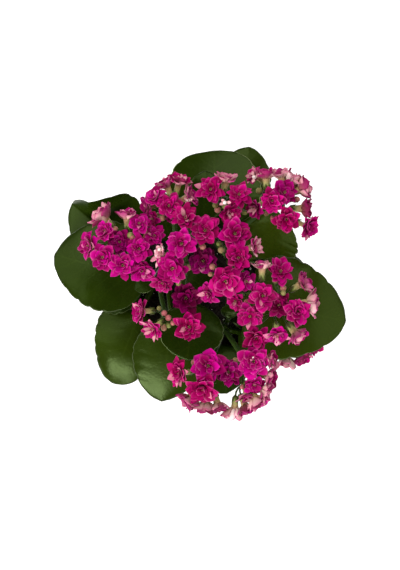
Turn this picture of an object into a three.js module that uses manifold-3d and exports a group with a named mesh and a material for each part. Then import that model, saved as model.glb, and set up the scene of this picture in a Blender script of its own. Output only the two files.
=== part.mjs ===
// A potted flaming katy: a double-flowered kalanchoe of three stems in a plain nursery pot.
// Millimetres, +Z up. The origin is the centre of the pot's foot, on the surface it stands on.
// Seen from above, +Y is the top of the photograph and +X its right.
import * as THREE from "three";
import { mergeVertices } from "three/addons/utils/BufferGeometryUtils.js";
import Module from "manifold-3d";

// Driving dimensions of the pot and its soil
const POT_HEIGHT = 105;
const RIM_RADIUS = 60;
const FOOT_RADIUS = 43;
const POT_WALL = 2;
const COLLAR_HEIGHT = 24;
const COLLAR_STEP = 2;
const FLOOR_THICKNESS = 3;
const POT_LIP = 1;
const POT_SIDES = 24;
const DRAIN_HOLES = 6;
const DRAIN_SIDES = 8;
const DRAIN_RADIUS = 4.5;
const DRAIN_CIRCLE = 31;
const SOIL_LEVEL = 92;
const SOIL_SIDES = 20;
const SOIL_CIRCLES = [48, 36, 24, 12];
const SOIL_HEAP = 3;
const SOIL_CRUMB = 0.8;
const CLEARANCE = 0.3;

// Driving dimensions of the plant
const STEM_RADIUS = 4.2;
const STEM_TOP_RADIUS = 3.1;
const STEM_FOOT = SOIL_LEVEL - 22;
const STEM_SIDES = 8;
const PEDUNCLE_RADIUS = 1.7;
const PEDUNCLE_FLARE = 0.4;
const PEDUNCLE_SIDES = 5;
const KNOT_HEIGHT = 3;
const BRANCH_RADIUS = 1.15;
const BRANCH_SWELL = 1.3;
const BRANCH_END = 1.6;
const BRANCH_SHARE = 0.55;
const PEDICEL_RADIUS = 0.75;
const BLOOM_RADIUS = 9.6;
const BLOOM_DEPTH = 11;
const THROAT_RADIUS = 2.8;
const CALYX_RADIUS = 1.6;
const FUNNEL_LEAN = 45;
const FULL_FUNNEL_LEAN = 80;
const FUNNEL_RISE = 4;
const SMALL_BLOOM = 0.79;
const BUD_RADIUS = 2.3;
const BUD_SPREAD = 0.15;
const BUD_DROP = 3;
const HEAD_DEPTH = 42;
const DOME = 0.026;
const LEAF_THICKNESS = 2;
const PETIOLE_RADIUS = 2.4;
const PETIOLE_DIP = 2;
const LEAF_EDGE_TAPER = 0.35;
const LOBE = 1.02;
const NOTCH = 0.97;
const LOBE_WIDTH = 8;
const MOST_LOBES = 4;

// How the photograph, taken from straight above, maps to the plant: at BLOOM_LEVEL a pixel is
// PIXEL millimetres, and what lies lower looks smaller from EYE_HEIGHT.
const PHOTO_CENTRE = { x: 200, y: 285 };
const PIXEL = 0.7;
const BLOOM_LEVEL = 215;
const EYE_HEIGHT = 1215;

// The layers of petals of a bloom, from the outermost. count is how many petals a full-sized bloom
// has and most how many any has, reach is their length as a share of the bloom's radius, height how
// high the notches between them lie above the bloom's eye and rise how much higher their tips are.
// In a funnel, notches and tips rise further, by these shares of FUNNEL_RISE.
const PETAL_LAYERS = [
  { count: 6.6, most: 7, reach: 1, height: -0.4, rise: -0.6, notchesUp: 0.7, tipsUp: 0.6 },
  { count: 4.6, most: 5, reach: 0.76, height: 2, rise: 0.5, notchesUp: 1, tipsUp: 0.4 },
  { count: 3, most: 3, reach: 0.5, height: 4, rise: 0.8, notchesUp: 1, tipsUp: 0 },
];
const PETAL_NOTCH = 0.74;
const LAYER_TWIST = 0.4;
const LAYER_GAPS = [0.9, 2.7];
const BLOOM_TOP = 2.9;

const UP = new THREE.Vector3(0, 0, 1);
const TURN = 2 * Math.PI;
const GOLDEN_ANGLE = THREE.MathUtils.degToRad(137.5);

// The three stems: where each stands in the photograph, and how high it grows before its peduncle
const STEMS = {
  left: { at: [166, 262], top: 152 },
  right: { at: [231, 262], top: 154 },
  front: { at: [224, 328], top: 130 },
};

// The flower heads. fork is the photograph's pixel under which the peduncle forks, top the height
// of its highest bloom and bow how far its peduncle bends to its left, in millimetres. leaves_at is
// the height at which the peduncle leaves its stem. Each cyme lists the blooms of one branch as
// [pixel x, pixel y, the direction it leans to, its lean from upright, how far it hangs below its
// head's dome, its size], with directions counted anticlockwise from the photograph's right. buds
// are [pixel x, pixel y].
const HEADS = {
  left: {
    stem: "left",
    leaves_at: 148,
    fork: [126, 245],
    top: 226,
    cymes: [
      [[90, 245, 180, 54, 0, 0.95], [103, 257, 235, 10, 0, 0.92], [106, 232, 150, 32, 0, 0.82]],
      [[103, 217, 135, 80, 3, 1], [127, 216, 92, 76, 1, 0.75], [139, 224, 75, 22, 0, 0.8]],
      [[120, 242, 0, 0, 10, 0.85], [139, 249, 60, 8, 1, 0.92], [154, 236, 50, 24, 0, 0.78]],
      [[123, 265, 265, 10, 0, 0.93], [142, 270, 275, 26, 0, 0.84]],
    ],
    buds: [[114, 228], [131, 235], [133, 238]],
  },
  upper_left: {
    stem: "left",
    leaves_at: 136,
    fork: [168, 202],
    bow: -6,
    top: 221,
    cymes: [
      [[156, 198, 135, 36, 0, 0.8], [148, 206, 185, 66, 6, 0.75], [153, 218, 215, 45, 5, 0.65]],
      [[166, 185, 115, 70, 3, 0.75], [179, 182, 75, 62, 0, 0.8], [189, 196, 30, 66, 2, 0.8]],
      [[169, 206, 100, 6, 0, 0.86], [173, 214, 280, 60, 9, 0.7]],
    ],
    buds: [[162, 220], [182, 201]],
  },
  top: {
    stem: "right",
    leaves_at: 136,
    fork: [226, 199],
    top: 224,
    cymes: [
      [[211, 190, 120, 18, 0, 0.98], [226, 179, 80, 78, 1, 0.85]],
      [[239, 195, 80, 16, 0, 0.85], [229, 211, 310, 40, 2, 0.82]],
    ],
    buds: [[214.5, 206.5], [217, 212], [241, 211.5], [246.5, 214]],
  },
  upper_right: {
    stem: "right",
    leaves_at: 132,
    fork: [279, 203],
    bow: 9,
    top: 226,
    cymes: [
      [[266, 175, 92, 84, 1, 0.82], [255, 176, 150, 60, 4, 0.7], [256, 207, 215, 48, 5, 0.8]],
      [[272, 201, 270, 6, 0, 0.88], [284, 193, 45, 25, 4, 0.95]],
      [[281, 175, 100, 90, 1, 0.72], [292, 180, 65, 84, 3, 0.8], [299, 184, 40, 76, 6, 0.7]],
      [[303, 189, 20, 84, 1, 0.9], [305, 208.5, 0, 84, 3, 0.85]],
      [[286, 219, 290, 20, 0, 0.95], [306.5, 226, 335, 46, 0, 0.95]],
    ],
    buds: [[257, 190], [265, 215], [272, 220], [299, 199]],
  },
  centre_left: {
    stem: "left",
    fork: [187, 248],
    top: 238,
    cymes: [
      [[182, 244, 130, 10, 0, 1.05], [161, 255, 165, 64, 2, 0.75], [173, 268, 240, 18, 1, 1.08]],
      [[186, 219, 110, 28, 0, 0.95], [205, 231, 90, 12, 1, 1.05]],
      [[203, 261, 0, 4, 13, 1.05], [163, 282, 245, 44, 4, 0.85], [186, 298, 270, 4, 20, 1.08]],
    ],
    buds: [[204, 247.5], [189, 270], [182, 280], [178, 286]],
  },
  centre_right: {
    stem: "right",
    fork: [235, 260],
    top: 238,
    cymes: [
      [[235, 234, 90, 10, 0, 1.1], [254, 247, 10, 62, 1, 0.8]],
      [[238, 258, 20, 10, 2, 0.92], [262, 266, 90, 80, 4, 0.65], [245, 281, 340, 40, 3, 0.8]],
      [[226, 281, 235, 12, 0, 1.15], [209, 293, 215, 46, 5, 0.8]],
    ],
    buds: [[217, 243], [219, 250], [210.5, 266], [208.5, 274.5]],
  },
  right: {
    stem: "right",
    leaves_at: 146,
    fork: [276, 300],
    top: 228,
    cymes: [
      [[280, 272, 55, 28, 0, 0.98], [303, 283, 30, 70, 0, 0.9], [297, 311, 340, 18, 0, 0.98]],
      [[263, 296, 90, 5, 0, 1.02], [236, 300, 220, 36, 1, 0.75], [250, 316, 235, 12, 1, 0.92]],
      [[279, 305, 0, 0, 11, 0.9], [311, 303, 0, 84, 1, 0.95], [297, 335, 310, 80, 2, 0.85]],
      [[256, 337, 265, 22, 0, 0.98], [277, 334, 272, 46, 0, 0.9]],
    ],
    buds: [[274, 278.5], [283.5, 287], [283.5, 292.5], [263, 312], [244.5, 302]],
  },
  front_left: {
    stem: "front",
    leaves_at: 120,
    fork: [206, 376],
    top: 208,
    cymes: [
      [[208, 366, 90, 6, 0, 1.15], [228, 372, 0, 18, 5, 1]],
      [[181, 373, 185, 50, 1, 1], [187, 400, 222, 80, 2, 0.95]],
      [[202, 387, 265, 32, 1, 1.14], [206, 406, 264, 92, 4, 0.95], [194, 402, 245, 84, 5, 0.75]],
      [[218, 406, 285, 86, 3, 0.8]],
    ],
    buds: [[196, 356], [193, 360.5], [237, 373]],
  },
  front_right: {
    stem: "front",
    leaves_at: 127,
    fork: [254, 374],
    top: 208,
    cymes: [
      [[253, 361, 300, 8, 0, 1.15], [270, 361, 10, 72, 1, 0.8], [269, 377, 345, 74, 4, 0.8]],
      [[254, 384, 290, 36, 4, 0.75], [265, 391, 335, 76, 3, 0.88], [257, 401, 300, 80, 1, 1]],
      [[234.5, 411, 267, 96, 1, 0.9], [247, 396, 285, 66, 6, 0.72], [246, 408, 292, 78, 5, 0.85]],
    ],
    buds: [[233, 359], [241, 388], [246, 376]],
  },
  side: {
    stem: "left",
    leaves_at: 137,
    fork: [168, 318],
    bow: -5,
    top: 200,
    depth: 30,
    cymes: [
      [[142, 311, 180, 58, 0, 0.85], [154, 328, 220, 48, 0, 0.88]],
      [[189, 327, 0, 4, 0, 1.08]],
    ],
    buds: [[158.5, 307], [164.5, 312.5], [169.5, 318], [174, 324], [169.5, 327], [164, 330]],
  },
  low: {
    stem: "right",
    leaves_at: 112,
    fork: [292, 350],
    top: 140,
    depth: 18,
    cymes: [
      [[303, 356, 300, 74, 0, 0.85], [287, 361, 260, 92, 0, 0.85], [315, 348, 315, 80, 0, 0.75]],
    ],
    buds: [[296, 358]],
  },
};

// The leaves. from is the stem that each grows from and its height there, base and tip are its
// blade's ends as [pixel x, pixel y, height]. halves are the widths of its left and right half seen
// from its base, arch how far its middle rises and cup how far its margins turn up, in millimetres.
// peak is where along the blade it is widest and blunt how round its ends are, the lower the
// rounder. fold is how far its right half is folded up near the tip, in degrees.
const LEAVES = {
  left_large: {
    from: ["left", 134], base: [143, 280, 150], tip: [55, 254.5, 147],
    halves: [31.2, 36.5], arch: 7, cup: -3, peak: 0.42, blunt: 0.5,
  },
  upper_left: {
    from: ["left", 120], base: [130, 252, 134], tip: [72, 204, 138],
    halves: [24, 33.8], arch: 4, cup: 5, peak: 0.43, fold: 68,
  },
  upper_left_inner: {
    from: ["left", 115], base: [171, 238, 126], tip: [153, 192, 130],
    halves: [15.5, 15.5], arch: 3, cup: 3,
  },
  left_small: {
    from: ["left", 149], base: [153, 281, 166], tip: [135, 289, 165],
    halves: [6, 6], arch: 2, cup: 1,
  },
  left_low: {
    from: ["left", 113], base: [140, 286, 118], tip: [84, 288, 100],
    halves: [21, 23], arch: 8, cup: 0,
  },
  top_large: {
    from: ["right", 130], base: [216, 222, 146], tip: [214, 151, 144],
    halves: [35, 34.5], arch: 5, cup: 6, blunt: 0.36,
  },
  top_low: {
    from: ["right", 112], base: [239, 208, 122], tip: [249, 147, 128],
    halves: [21, 21], arch: 4, cup: -2,
  },
  top_inner: {
    from: ["right", 146], base: [203, 222, 160], tip: [206, 171, 165],
    halves: [14, 14], arch: 3, cup: 3,
  },
  right_small: {
    from: ["right", 124], base: [257, 254, 136], tip: [278, 212, 138],
    halves: [23, 27], arch: 5, cup: -6, peak: 0.36,
  },
  right_large: {
    from: ["right", 140], base: [249, 300, 152], tip: [345.5, 321, 150],
    halves: [37.6, 39.5], arch: 8, cup: -3, peak: 0.32, blunt: 0.5,
  },
  right_low: {
    from: ["right", 110], base: [262, 262, 116], tip: [306, 270, 104],
    halves: [11, 21], arch: 8, cup: 0,
  },
  front_left_outer: {
    from: ["left", 97], base: [138.5, 316, 112], tip: [112.5, 382.5, 99],
    halves: [30.5, 28.2], arch: 7, cup: -6, peak: 0.27, blunt: 0.41,
  },
  front_left_inner: {
    from: ["left", 123], base: [171, 322, 131], tip: [161.5, 401, 111],
    halves: [29.5, 26.5], arch: 4, cup: -4,
  },
  front_centre: {
    from: ["left", 131], base: [194, 306, 142], tip: [187, 360, 142],
    halves: [24.5, 24.5], arch: 2, cup: 2,
  },
  front_right: {
    from: ["front", 102], base: [217, 347, 110], tip: [227, 393, 108],
    halves: [21, 21], arch: 5, cup: 2,
  },
  front_right_low: {
    from: ["front", 114], base: [242, 333, 125], tip: [276, 350, 128],
    halves: [17, 17], arch: 3, cup: 0,
  },
  centre_low: {
    from: ["left", 143], base: [179, 273, 150], tip: [212, 290, 152],
    halves: [14, 13], arch: 3, cup: 1,
  },
  right_inner: {
    from: ["right", 119], base: [238, 286, 123], tip: [250, 330, 120],
    halves: [15, 14], arch: 4, cup: 0,
  },
  front_small: {
    from: ["front", 125], base: [229, 317, 136], tip: [230, 304, 140],
    halves: [6.5, 6.5], arch: 2, cup: 1,
  },
};

const colours = {
  pot: [0xa34e2c, 0.55],
  soil: [0x2c2019, 0.95],
  stem: [0x5a7530, 0.55],
  leaf: [0x2c4a14, 0.4],
  bloom: [0xb5067c, 0.6],
};

const wasm = await Module();
wasm.setup();

// A pixel of the photograph as a point of the plant at height z.
function place(x, y, z) {
  const scale = (PIXEL * (EYE_HEIGHT - z)) / (EYE_HEIGHT - BLOOM_LEVEL);
  return new THREE.Vector3((x - PHOTO_CENTRE.x) * scale, (PHOTO_CENTRE.y - y) * scale, z);
}

// A closed surface through rings of points, where a ring may be a single point and neighbouring
// rings may differ in their number of points. Rings run anticlockwise seen from the last one.
function skin(rings) {
  const points = rings.flat();
  const faces = [];
  let start = 0;
  const cap = (first, count, flip) => {
    for (let i = 1; i < count - 1; i++) {
      faces.push(flip ? [first, first + i + 1, first + i] : [first, first + i, first + i + 1]);
    }
  };
  cap(0, rings[0].length, true);
  for (let k = 0; k + 1 < rings.length; k++) {
    const n = rings[k].length;
    const m = rings[k + 1].length;
    const next = start + n;
    let i = 0;
    let j = 0;
    while (i < (n > 1 ? n : 0) || j < (m > 1 ? m : 0)) {
      const stepLower = m === 1 || (n > 1 && (i + 0.5) / n < (j + 0.5) / m);
      const a = start + (i % n);
      const b = next + (j % m);
      if (stepLower) {
        faces.push([a, start + ((i + 1) % n), b]);
        i++;
      } else {
        faces.push([a, next + ((j + 1) % m), b]);
        j++;
      }
    }
    start = next;
  }
  cap(start, rings[rings.length - 1].length, false);
  return geometryOf(points, faces);
}

function geometryOf(points, faces) {
  const geometry = new THREE.BufferGeometry().setFromPoints(points);
  geometry.setIndex(faces.flat());
  return geometry;
}

// A ring of count points round centre, in the plane of side and across. radius may be a function
// of the point's number.
function ring(centre, side, across, count, radius, spin = 0, lift = null) {
  return Array.from({ length: count }, (_, i) => {
    const angle = spin + (TURN * i) / count;
    const r = typeof radius === "function" ? radius(i) : radius;
    const point = centre.clone();
    point.addScaledVector(side, r * Math.cos(angle));
    point.addScaledVector(across, r * Math.sin(angle));
    return lift ? point.addScaledVector(lift.along, lift.by(i)) : point;
  });
}

// Two directions square to axis, with side, across and axis right-handed.
function squareTo(axis) {
  const side = new THREE.Vector3(-axis.y, axis.x, 0);
  if (side.length() < 1e-3) side.set(1, 0, 0);
  side.normalize();
  return { side, across: new THREE.Vector3().crossVectors(axis, side).normalize() };
}

// A tapered tube through the points, with its last ring level where levelEnd is set.
function tube(points, radii, sides, steps, levelEnd = false) {
  const curve = new THREE.CatmullRomCurve3(points, false, "centripetal");
  const rings = [];
  for (let i = 0; i <= steps; i++) {
    const t = i / steps;
    const axis = i === steps && levelEnd ? UP : curve.getTangent(t);
    const { side, across } = squareTo(axis);
    const radius = THREE.MathUtils.lerp(radii[0], radii[1], t);
    rings.push(ring(curve.getPoint(t), side, across, sides, radius));
  }
  // Each ring starts at the point nearest to the ring before, so that the tube doesn't twist.
  for (let i = 1; i < rings.length; i++) {
    const from = rings[i - 1][0];
    const gaps = rings[i].map((p) => p.distanceTo(from));
    const first = gaps.indexOf(Math.min(...gaps));
    rings[i] = rings[i].slice(first).concat(rings[i].slice(0, first));
  }
  return skin(rings);
}

function solidOf(geometry) {
  const bare = geometry.clone();
  bare.deleteAttribute("normal");
  bare.deleteAttribute("uv");
  const merged = mergeVertices(bare, 1e-4);
  return new wasm.Manifold(
    new wasm.Mesh({
      numProp: 3,
      vertProperties: new Float32Array(merged.attributes.position.array),
      triVerts: new Uint32Array(merged.index.array),
    }),
  );
}

function geometryFrom(solid) {
  const made = solid.getMesh();
  return new THREE.BufferGeometry()
    .setAttribute("position", new THREE.BufferAttribute(new Float32Array(made.vertProperties), 3))
    .setIndex(new THREE.BufferAttribute(new Uint32Array(made.triVerts), 1));
}

// One solid of all the pieces, with the hollows that they enclose filled.
function joined(geometries) {
  const all = geometries.map(solidOf).reduce((sum, next) => sum.add(next));
  return wasm.Manifold.compose(all.decompose().filter((body) => body.volume() > 0));
}

const plant = new THREE.Group();

function addNode(name, geometry, [colour, roughness]) {
  const shape = geometry.isBufferGeometry ? geometry : geometryFrom(geometry);
  const material = new THREE.MeshStandardMaterial({ color: colour, roughness, metalness: 0 });
  const mesh = new THREE.Mesh(shape, material);
  mesh.name = name;
  plant.add(mesh);
}

// The pot's outer radius at height z, without its collar.
function potRadius(z) {
  return FOOT_RADIUS + ((RIM_RADIUS - COLLAR_STEP - FOOT_RADIUS) * z) / POT_HEIGHT;
}

// A tapered pot with a collar round its rim and drain holes through its floor.
function pot() {
  const collar = POT_HEIGHT - COLLAR_HEIGHT;
  const profile = [
    [0, 0],
    [FOOT_RADIUS - POT_LIP, 0],
    [potRadius(POT_LIP), POT_LIP],
    [potRadius(collar), collar],
    [potRadius(collar) + COLLAR_STEP, collar + COLLAR_STEP],
    [RIM_RADIUS, POT_HEIGHT - POT_LIP],
    [RIM_RADIUS - POT_LIP, POT_HEIGHT],
    [RIM_RADIUS - COLLAR_STEP - POT_WALL + POT_LIP, POT_HEIGHT],
    [potRadius(POT_HEIGHT - POT_LIP) - POT_WALL, POT_HEIGHT - POT_LIP],
    [potRadius(FLOOR_THICKNESS) - POT_WALL, FLOOR_THICKNESS],
    [0, FLOOR_THICKNESS],
  ].map(([r, z]) => new THREE.Vector2(r, z));
  let body = solidOf(new THREE.LatheGeometry(profile, POT_SIDES).rotateX(Math.PI / 2));
  for (let i = 0; i < DRAIN_HOLES; i++) {
    const angle = (TURN * i) / DRAIN_HOLES;
    const hole = new THREE.CylinderGeometry(DRAIN_RADIUS, DRAIN_RADIUS, 4 * FLOOR_THICKNESS, DRAIN_SIDES);
    hole.rotateX(Math.PI / 2);
    hole.translate(DRAIN_CIRCLE * Math.cos(angle), DRAIN_CIRCLE * Math.sin(angle), 0);
    body = body.subtract(solidOf(hole));
  }
  return body;
}

// The surface of the potting soil at radius r and angle a: it heaps up a little in the middle and
// has crumbs of peat.
function soilHeight(r, angle) {
  const crumbs = Math.sin(r * 0.9 + 3 * angle) + Math.sin(r * 0.53 - 5 * angle + 1);
  return SOIL_LEVEL + SOIL_HEAP * (1 - (r / RIM_RADIUS) ** 2) + SOIL_CRUMB * crumbs;
}

function soil() {
  const centre = (z) => new THREE.Vector3(0, 0, z);
  const x = new THREE.Vector3(1, 0, 0);
  const y = new THREE.Vector3(0, 1, 0);
  const inside = (z) => potRadius(z) - POT_WALL - 2 * CLEARANCE;
  const bottom = FLOOR_THICKNESS + CLEARANCE;
  const edge = SOIL_LEVEL - 2;
  const rings = [
    ring(centre(bottom), x, y, SOIL_SIDES, inside(bottom)),
    ring(centre(edge), x, y, SOIL_SIDES, inside(edge)),
  ];
  for (const r of SOIL_CIRCLES) {
    const by = (i) => soilHeight(r, (TURN * i) / SOIL_SIDES);
    rings.push(ring(centre(0), x, y, SOIL_SIDES, r, 0, { along: UP, by }));
  }
  rings.push([centre(soilHeight(0, 0))]);
  return solidOf(skin(rings));
}

// The path of a peduncle: it leaves its stem, spreads out and ends upright under its head.
function pedunclePath(head) {
  const stem = STEMS[head.stem];
  const from = place(...stem.at, head.leaves_at ?? stem.top - 3);
  const to = forkOf(head);
  const reach = new THREE.Vector3(to.x - from.x, to.y - from.y, 0);
  const left = new THREE.Vector3(-reach.y, reach.x, 0).normalize().multiplyScalar(head.bow ?? 0);
  const rise = to.z - from.z;
  const lower = from.clone().addScaledVector(reach, 0.4).add(left);
  const upper = from.clone().addScaledVector(reach, 0.85).addScaledVector(left, 0.5);
  return [from, lower.setZ(from.z + 0.3 * rise), upper.setZ(from.z + 0.66 * rise), to];
}

function forkOf(head) {
  return place(...head.fork, head.top - (head.depth ?? HEAD_DEPTH));
}

// How thick a stem is at height z: it tapers from its foot in the soil to its top.
function stemRadius({ top }, z) {
  return THREE.MathUtils.mapLinear(z, STEM_FOOT, top, STEM_RADIUS, STEM_TOP_RADIUS);
}

// A stem with its peduncles. It starts in the soil, where its roots spread.
function stem(name) {
  const { at, top } = STEMS[name];
  const foot = place(...at, STEM_FOOT);
  const head = place(...at, top);
  const middle = foot.clone().lerp(head, 0.5);
  const pieces = [tube([foot, middle, head], [STEM_RADIUS, STEM_TOP_RADIUS], STEM_SIDES, 3)];
  for (const flowers of Object.values(HEADS)) {
    if (flowers.stem !== name) continue;
    const radii = [PEDUNCLE_RADIUS + PEDUNCLE_FLARE, PEDUNCLE_RADIUS];
    pieces.push(tube(pedunclePath(flowers), radii, PEDUNCLE_SIDES, 4, true));
  }
  return joined(pieces);
}

// Where a bloom or bud of a head is: on the head's dome, so many millimetres lower.
function onDome(head, x, y, lower) {
  const middle = place(...head.fork, BLOOM_LEVEL);
  const away = place(x, y, BLOOM_LEVEL).distanceTo(middle);
  return place(x, y, head.top - DOME * away * away - lower);
}

function leanAxis(toward, lean) {
  const a = THREE.MathUtils.degToRad(toward);
  const b = THREE.MathUtils.degToRad(lean);
  return new THREE.Vector3(Math.cos(a) * Math.sin(b), Math.sin(a) * Math.sin(b), Math.cos(b));
}

// A double bloom on its pedicel: a tube, then its layers of petals, each a star-shaped ring. A small
// bloom has one layer less. A bloom at the side of its head, which leans far, is a funnel whose
// petals point ahead.
function bloom({ eye, axis, size }, hub, number) {
  const { side, across } = squareTo(axis);
  const lean = THREE.MathUtils.radToDeg(Math.acos(axis.z));
  const opening = (lean - FUNNEL_LEAN) / (FULL_FUNNEL_LEAN - FUNNEL_LEAN);
  const ahead = FUNNEL_RISE * size * THREE.MathUtils.clamp(opening, 0, 1);
  const spin = number * GOLDEN_ANGLE;
  const at = (height) => eye.clone().addScaledVector(axis, height);
  const circle = (height, count, r) => ring(at(height), side, across, count, r, spin);
  const layer = (number) => {
    const { count, most, reach, height, rise, notchesUp, tipsUp } = PETAL_LAYERS[number];
    const petals = Math.min(most, Math.round(count * size));
    const radius = BLOOM_RADIUS * size * reach;
    const isTip = (i) => i % 2 === 0;
    const out = (i) => (isTip(i) ? radius : radius * PETAL_NOTCH);
    const lift = { along: axis, by: (i) => (isTip(i) ? rise + tipsUp * ahead : 0) };
    const middle = at(height + notchesUp * ahead);
    return ring(middle, side, across, 2 * petals, out, spin + LAYER_TWIST * number, lift);
  };
  const stalk = squareTo(at(-BLOOM_DEPTH).sub(hub).normalize());
  return skin([
    ring(hub, stalk.side, stalk.across, 3, PEDICEL_RADIUS, spin),
    circle(-BLOOM_DEPTH, 3, CALYX_RADIUS),
    circle(-THROAT_RADIUS, 3, THROAT_RADIUS),
    layer(0),
    circle(LAYER_GAPS[0], 4, THROAT_RADIUS),
    layer(1),
    circle(LAYER_GAPS[1], 3, 0.7 * THROAT_RADIUS),
    ...(size > SMALL_BLOOM ? [layer(2)] : []),
    [at(BLOOM_TOP)],
  ]);
}

// A closed bud on its pedicel.
function bud(tip, hub, number) {
  const axis = tip.clone().sub(hub).normalize();
  const { side, across } = squareTo(axis);
  const r = BUD_RADIUS * (1 + BUD_SPREAD * Math.sin(number * GOLDEN_ANGLE));
  const at = (back) => tip.clone().addScaledVector(axis, -back);
  return skin([
    ring(hub, side, across, 3, PEDICEL_RADIUS),
    ring(at(3 * r), side, across, 3, PEDICEL_RADIUS),
    ring(at(1.2 * r), side, across, 5, r),
    [tip],
  ]);
}

// One end of each branch of a cyme lies between the fork and its blooms.
function cymeHub(fork, feet) {
  const mean = feet.reduce((sum, p) => sum.add(p), new THREE.Vector3()).divideScalar(feet.length);
  return fork.clone().lerp(mean, BRANCH_SHARE);
}

function flowerHead(head, offset) {
  const fork = forkOf(head).setZ(forkOf(head).z + CLEARANCE);
  const knot = fork.clone().setZ(fork.z + KNOT_HEIGHT);
  const x = new THREE.Vector3(1, 0, 0);
  const y = new THREE.Vector3(0, 1, 0);
  const end = [knot.clone().setZ(knot.z + KNOT_HEIGHT)];
  const level = (middle) => ring(middle, x, y, PEDUNCLE_SIDES, PEDUNCLE_RADIUS);
  const pieces = [skin([level(fork), level(knot), end])];
  const hubs = [];
  let number = offset;
  for (const cyme of head.cymes) {
    const blooms = cyme.map(([px, py, toward, lean, lower, size]) => {
      const axis = leanAxis(toward, lean);
      const eye = onDome(head, px, py, lower);
      return { eye, axis, size, foot: eye.clone().addScaledVector(axis, -BLOOM_DEPTH) };
    });
    const hub = cymeHub(knot, blooms.map((b) => b.foot));
    hubs.push(hub);
    const branch = hub.clone().sub(knot).normalize();
    const frame = squareTo(branch);
    const beyond = hub.clone().addScaledVector(branch, BRANCH_END);
    pieces.push(
      skin([
        ring(knot, frame.side, frame.across, 4, BRANCH_RADIUS),
        ring(hub, frame.side, frame.across, 4, BRANCH_RADIUS * BRANCH_SWELL),
        [beyond],
      ]),
    );
    for (const each of blooms) pieces.push(bloom(each, hub, number++));
  }
  for (const [px, py] of head.buds) {
    const tip = onDome(head, px, py, BUD_DROP);
    const hub = hubs.reduce((best, h) => (h.distanceTo(tip) < best.distanceTo(tip) ? h : best));
    pieces.push(bud(tip, hub, number++));
  }
  return joined(pieces);
}

// How wide the blade is at t, from its base at 0 to its tip at 1, as a share of its full width.
function bladeShape(t, { peak = 0.47, blunt = 0.55 }) {
  const bend = Math.log(0.5) / Math.log(peak);
  return Math.sin(Math.PI * Math.min(1, 0.04 + 0.96 * t) ** bend) ** blunt;
}

// A fleshy leaf with its petiole: sections along its rib, each with its margins, its upper side
// and its under side. The margin is scalloped: every other section of the blade is a notch.
function leaf(spec) {
  const [stemName, height] = spec.from;
  const stemAxis = STEMS[stemName];
  const base = place(...spec.base);
  const tip = place(...spec.tip);
  const along = tip.clone().sub(base);
  const from = place(...stemAxis.at, height);
  const outward = new THREE.Vector3(base.x - from.x, base.y - from.y, 0).normalize();
  from.addScaledVector(outward, stemRadius(stemAxis, height) + CLEARANCE);
  const start = base.clone().addScaledVector(along, -0.12).setZ(base.z - PETIOLE_DIP);
  const petiole = new THREE.CubicBezierCurve3(
    from,
    from.clone().addScaledVector(outward, 0.3 * from.distanceTo(base)),
    start,
    base,
  );
  const sections = [0, 0.45, 0.85].map((t, i) => ({
    at: petiole.getPoint(t),
    ahead: i ? petiole.getTangent(t) : outward,
    halves: [PETIOLE_RADIUS, PETIOLE_RADIUS],
    thick: PETIOLE_RADIUS,
    cup: 0,
    fold: 0,
  }));
  const lobes = Math.round(Math.min(MOST_LOBES, 1.5 + Math.max(...spec.halves) / LOBE_WIDTH));
  const steps = 2 * lobes;
  const foldAngle = THREE.MathUtils.degToRad(spec.fold ?? 0);
  for (let i = 0; i < steps; i++) {
    const t = i / steps;
    const rise = 4 * spec.arch;
    const scallop = i % 2 && i > 2 ? LOBE : NOTCH;
    const share = bladeShape(t, spec);
    sections.push({
      at: base.clone().addScaledVector(along, t).addScaledVector(UP, rise * t * (1 - t)),
      ahead: along.clone().addScaledVector(UP, rise * (1 - 2 * t)).normalize(),
      halves: spec.halves.map((half) => Math.max(PETIOLE_RADIUS, half * share * scallop)),
      thick: THREE.MathUtils.lerp(PETIOLE_RADIUS, LEAF_THICKNESS / 2, Math.min(1, 4 * t)),
      cup: spec.cup * share ** 2,
      fold: foldAngle * THREE.MathUtils.smoothstep(t, 0.42, 0.78),
    });
  }
  const across = [-1, -0.5, 0, 0.5, 1];
  const points = [];
  for (const s of sections) {
    const side = new THREE.Vector3().crossVectors(UP, s.ahead).normalize().negate();
    const up = new THREE.Vector3().crossVectors(side, s.ahead).normalize();
    const point = (u, face) => {
      const out = u * s.halves[u < 0 ? 0 : 1];
      const turn = u > 0 ? s.fold : 0;
      return s.at
        .clone()
        .addScaledVector(side, out * Math.cos(turn))
        .addScaledVector(up, out * Math.sin(turn) + s.cup * u * u)
        .addScaledVector(up, face * s.thick * (1 - LEAF_EDGE_TAPER * Math.abs(u)));
    };
    points.push(...across.map((u) => point(u, Math.abs(u) === 1 ? 0 : 1)));
    points.push(...across.slice(1, 4).map((u) => point(u, -1)));
  }
  points.push(tip);
  // Columns of the upper side, and of the under side with the same margins.
  const upper = [0, 1, 2, 3, 4];
  const under = [0, 5, 6, 7, 4];
  const faces = [];
  const last = points.length - 1;
  const row = (k) => 8 * k;
  for (let c = 0; c < 4; c++) {
    for (let k = 0; k + 1 < sections.length; k++) {
      const corner = (columns, dk, dc) => row(k + dk) + columns[c + dc];
      const quad = (columns) => [
        corner(columns, 0, 0),
        corner(columns, 0, 1),
        corner(columns, 1, 1),
        corner(columns, 1, 0),
      ];
      const [a, b, d, e] = quad(upper);
      faces.push([a, b, d], [a, d, e]);
      const [p, q, r, s] = quad(under);
      faces.push([p, r, q], [p, s, r]);
    }
    const end = row(sections.length - 1);
    faces.push([end + upper[c], end + upper[c + 1], last]);
    faces.push([end + under[c + 1], end + under[c], last]);
    faces.push([under[c], under[c + 1], upper[c + 1]]);
    if (c > 0) faces.push([under[c], upper[c + 1], upper[c]]);
  }
  return geometryOf(points, faces.filter((f) => new Set(f).size === 3));
}

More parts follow.
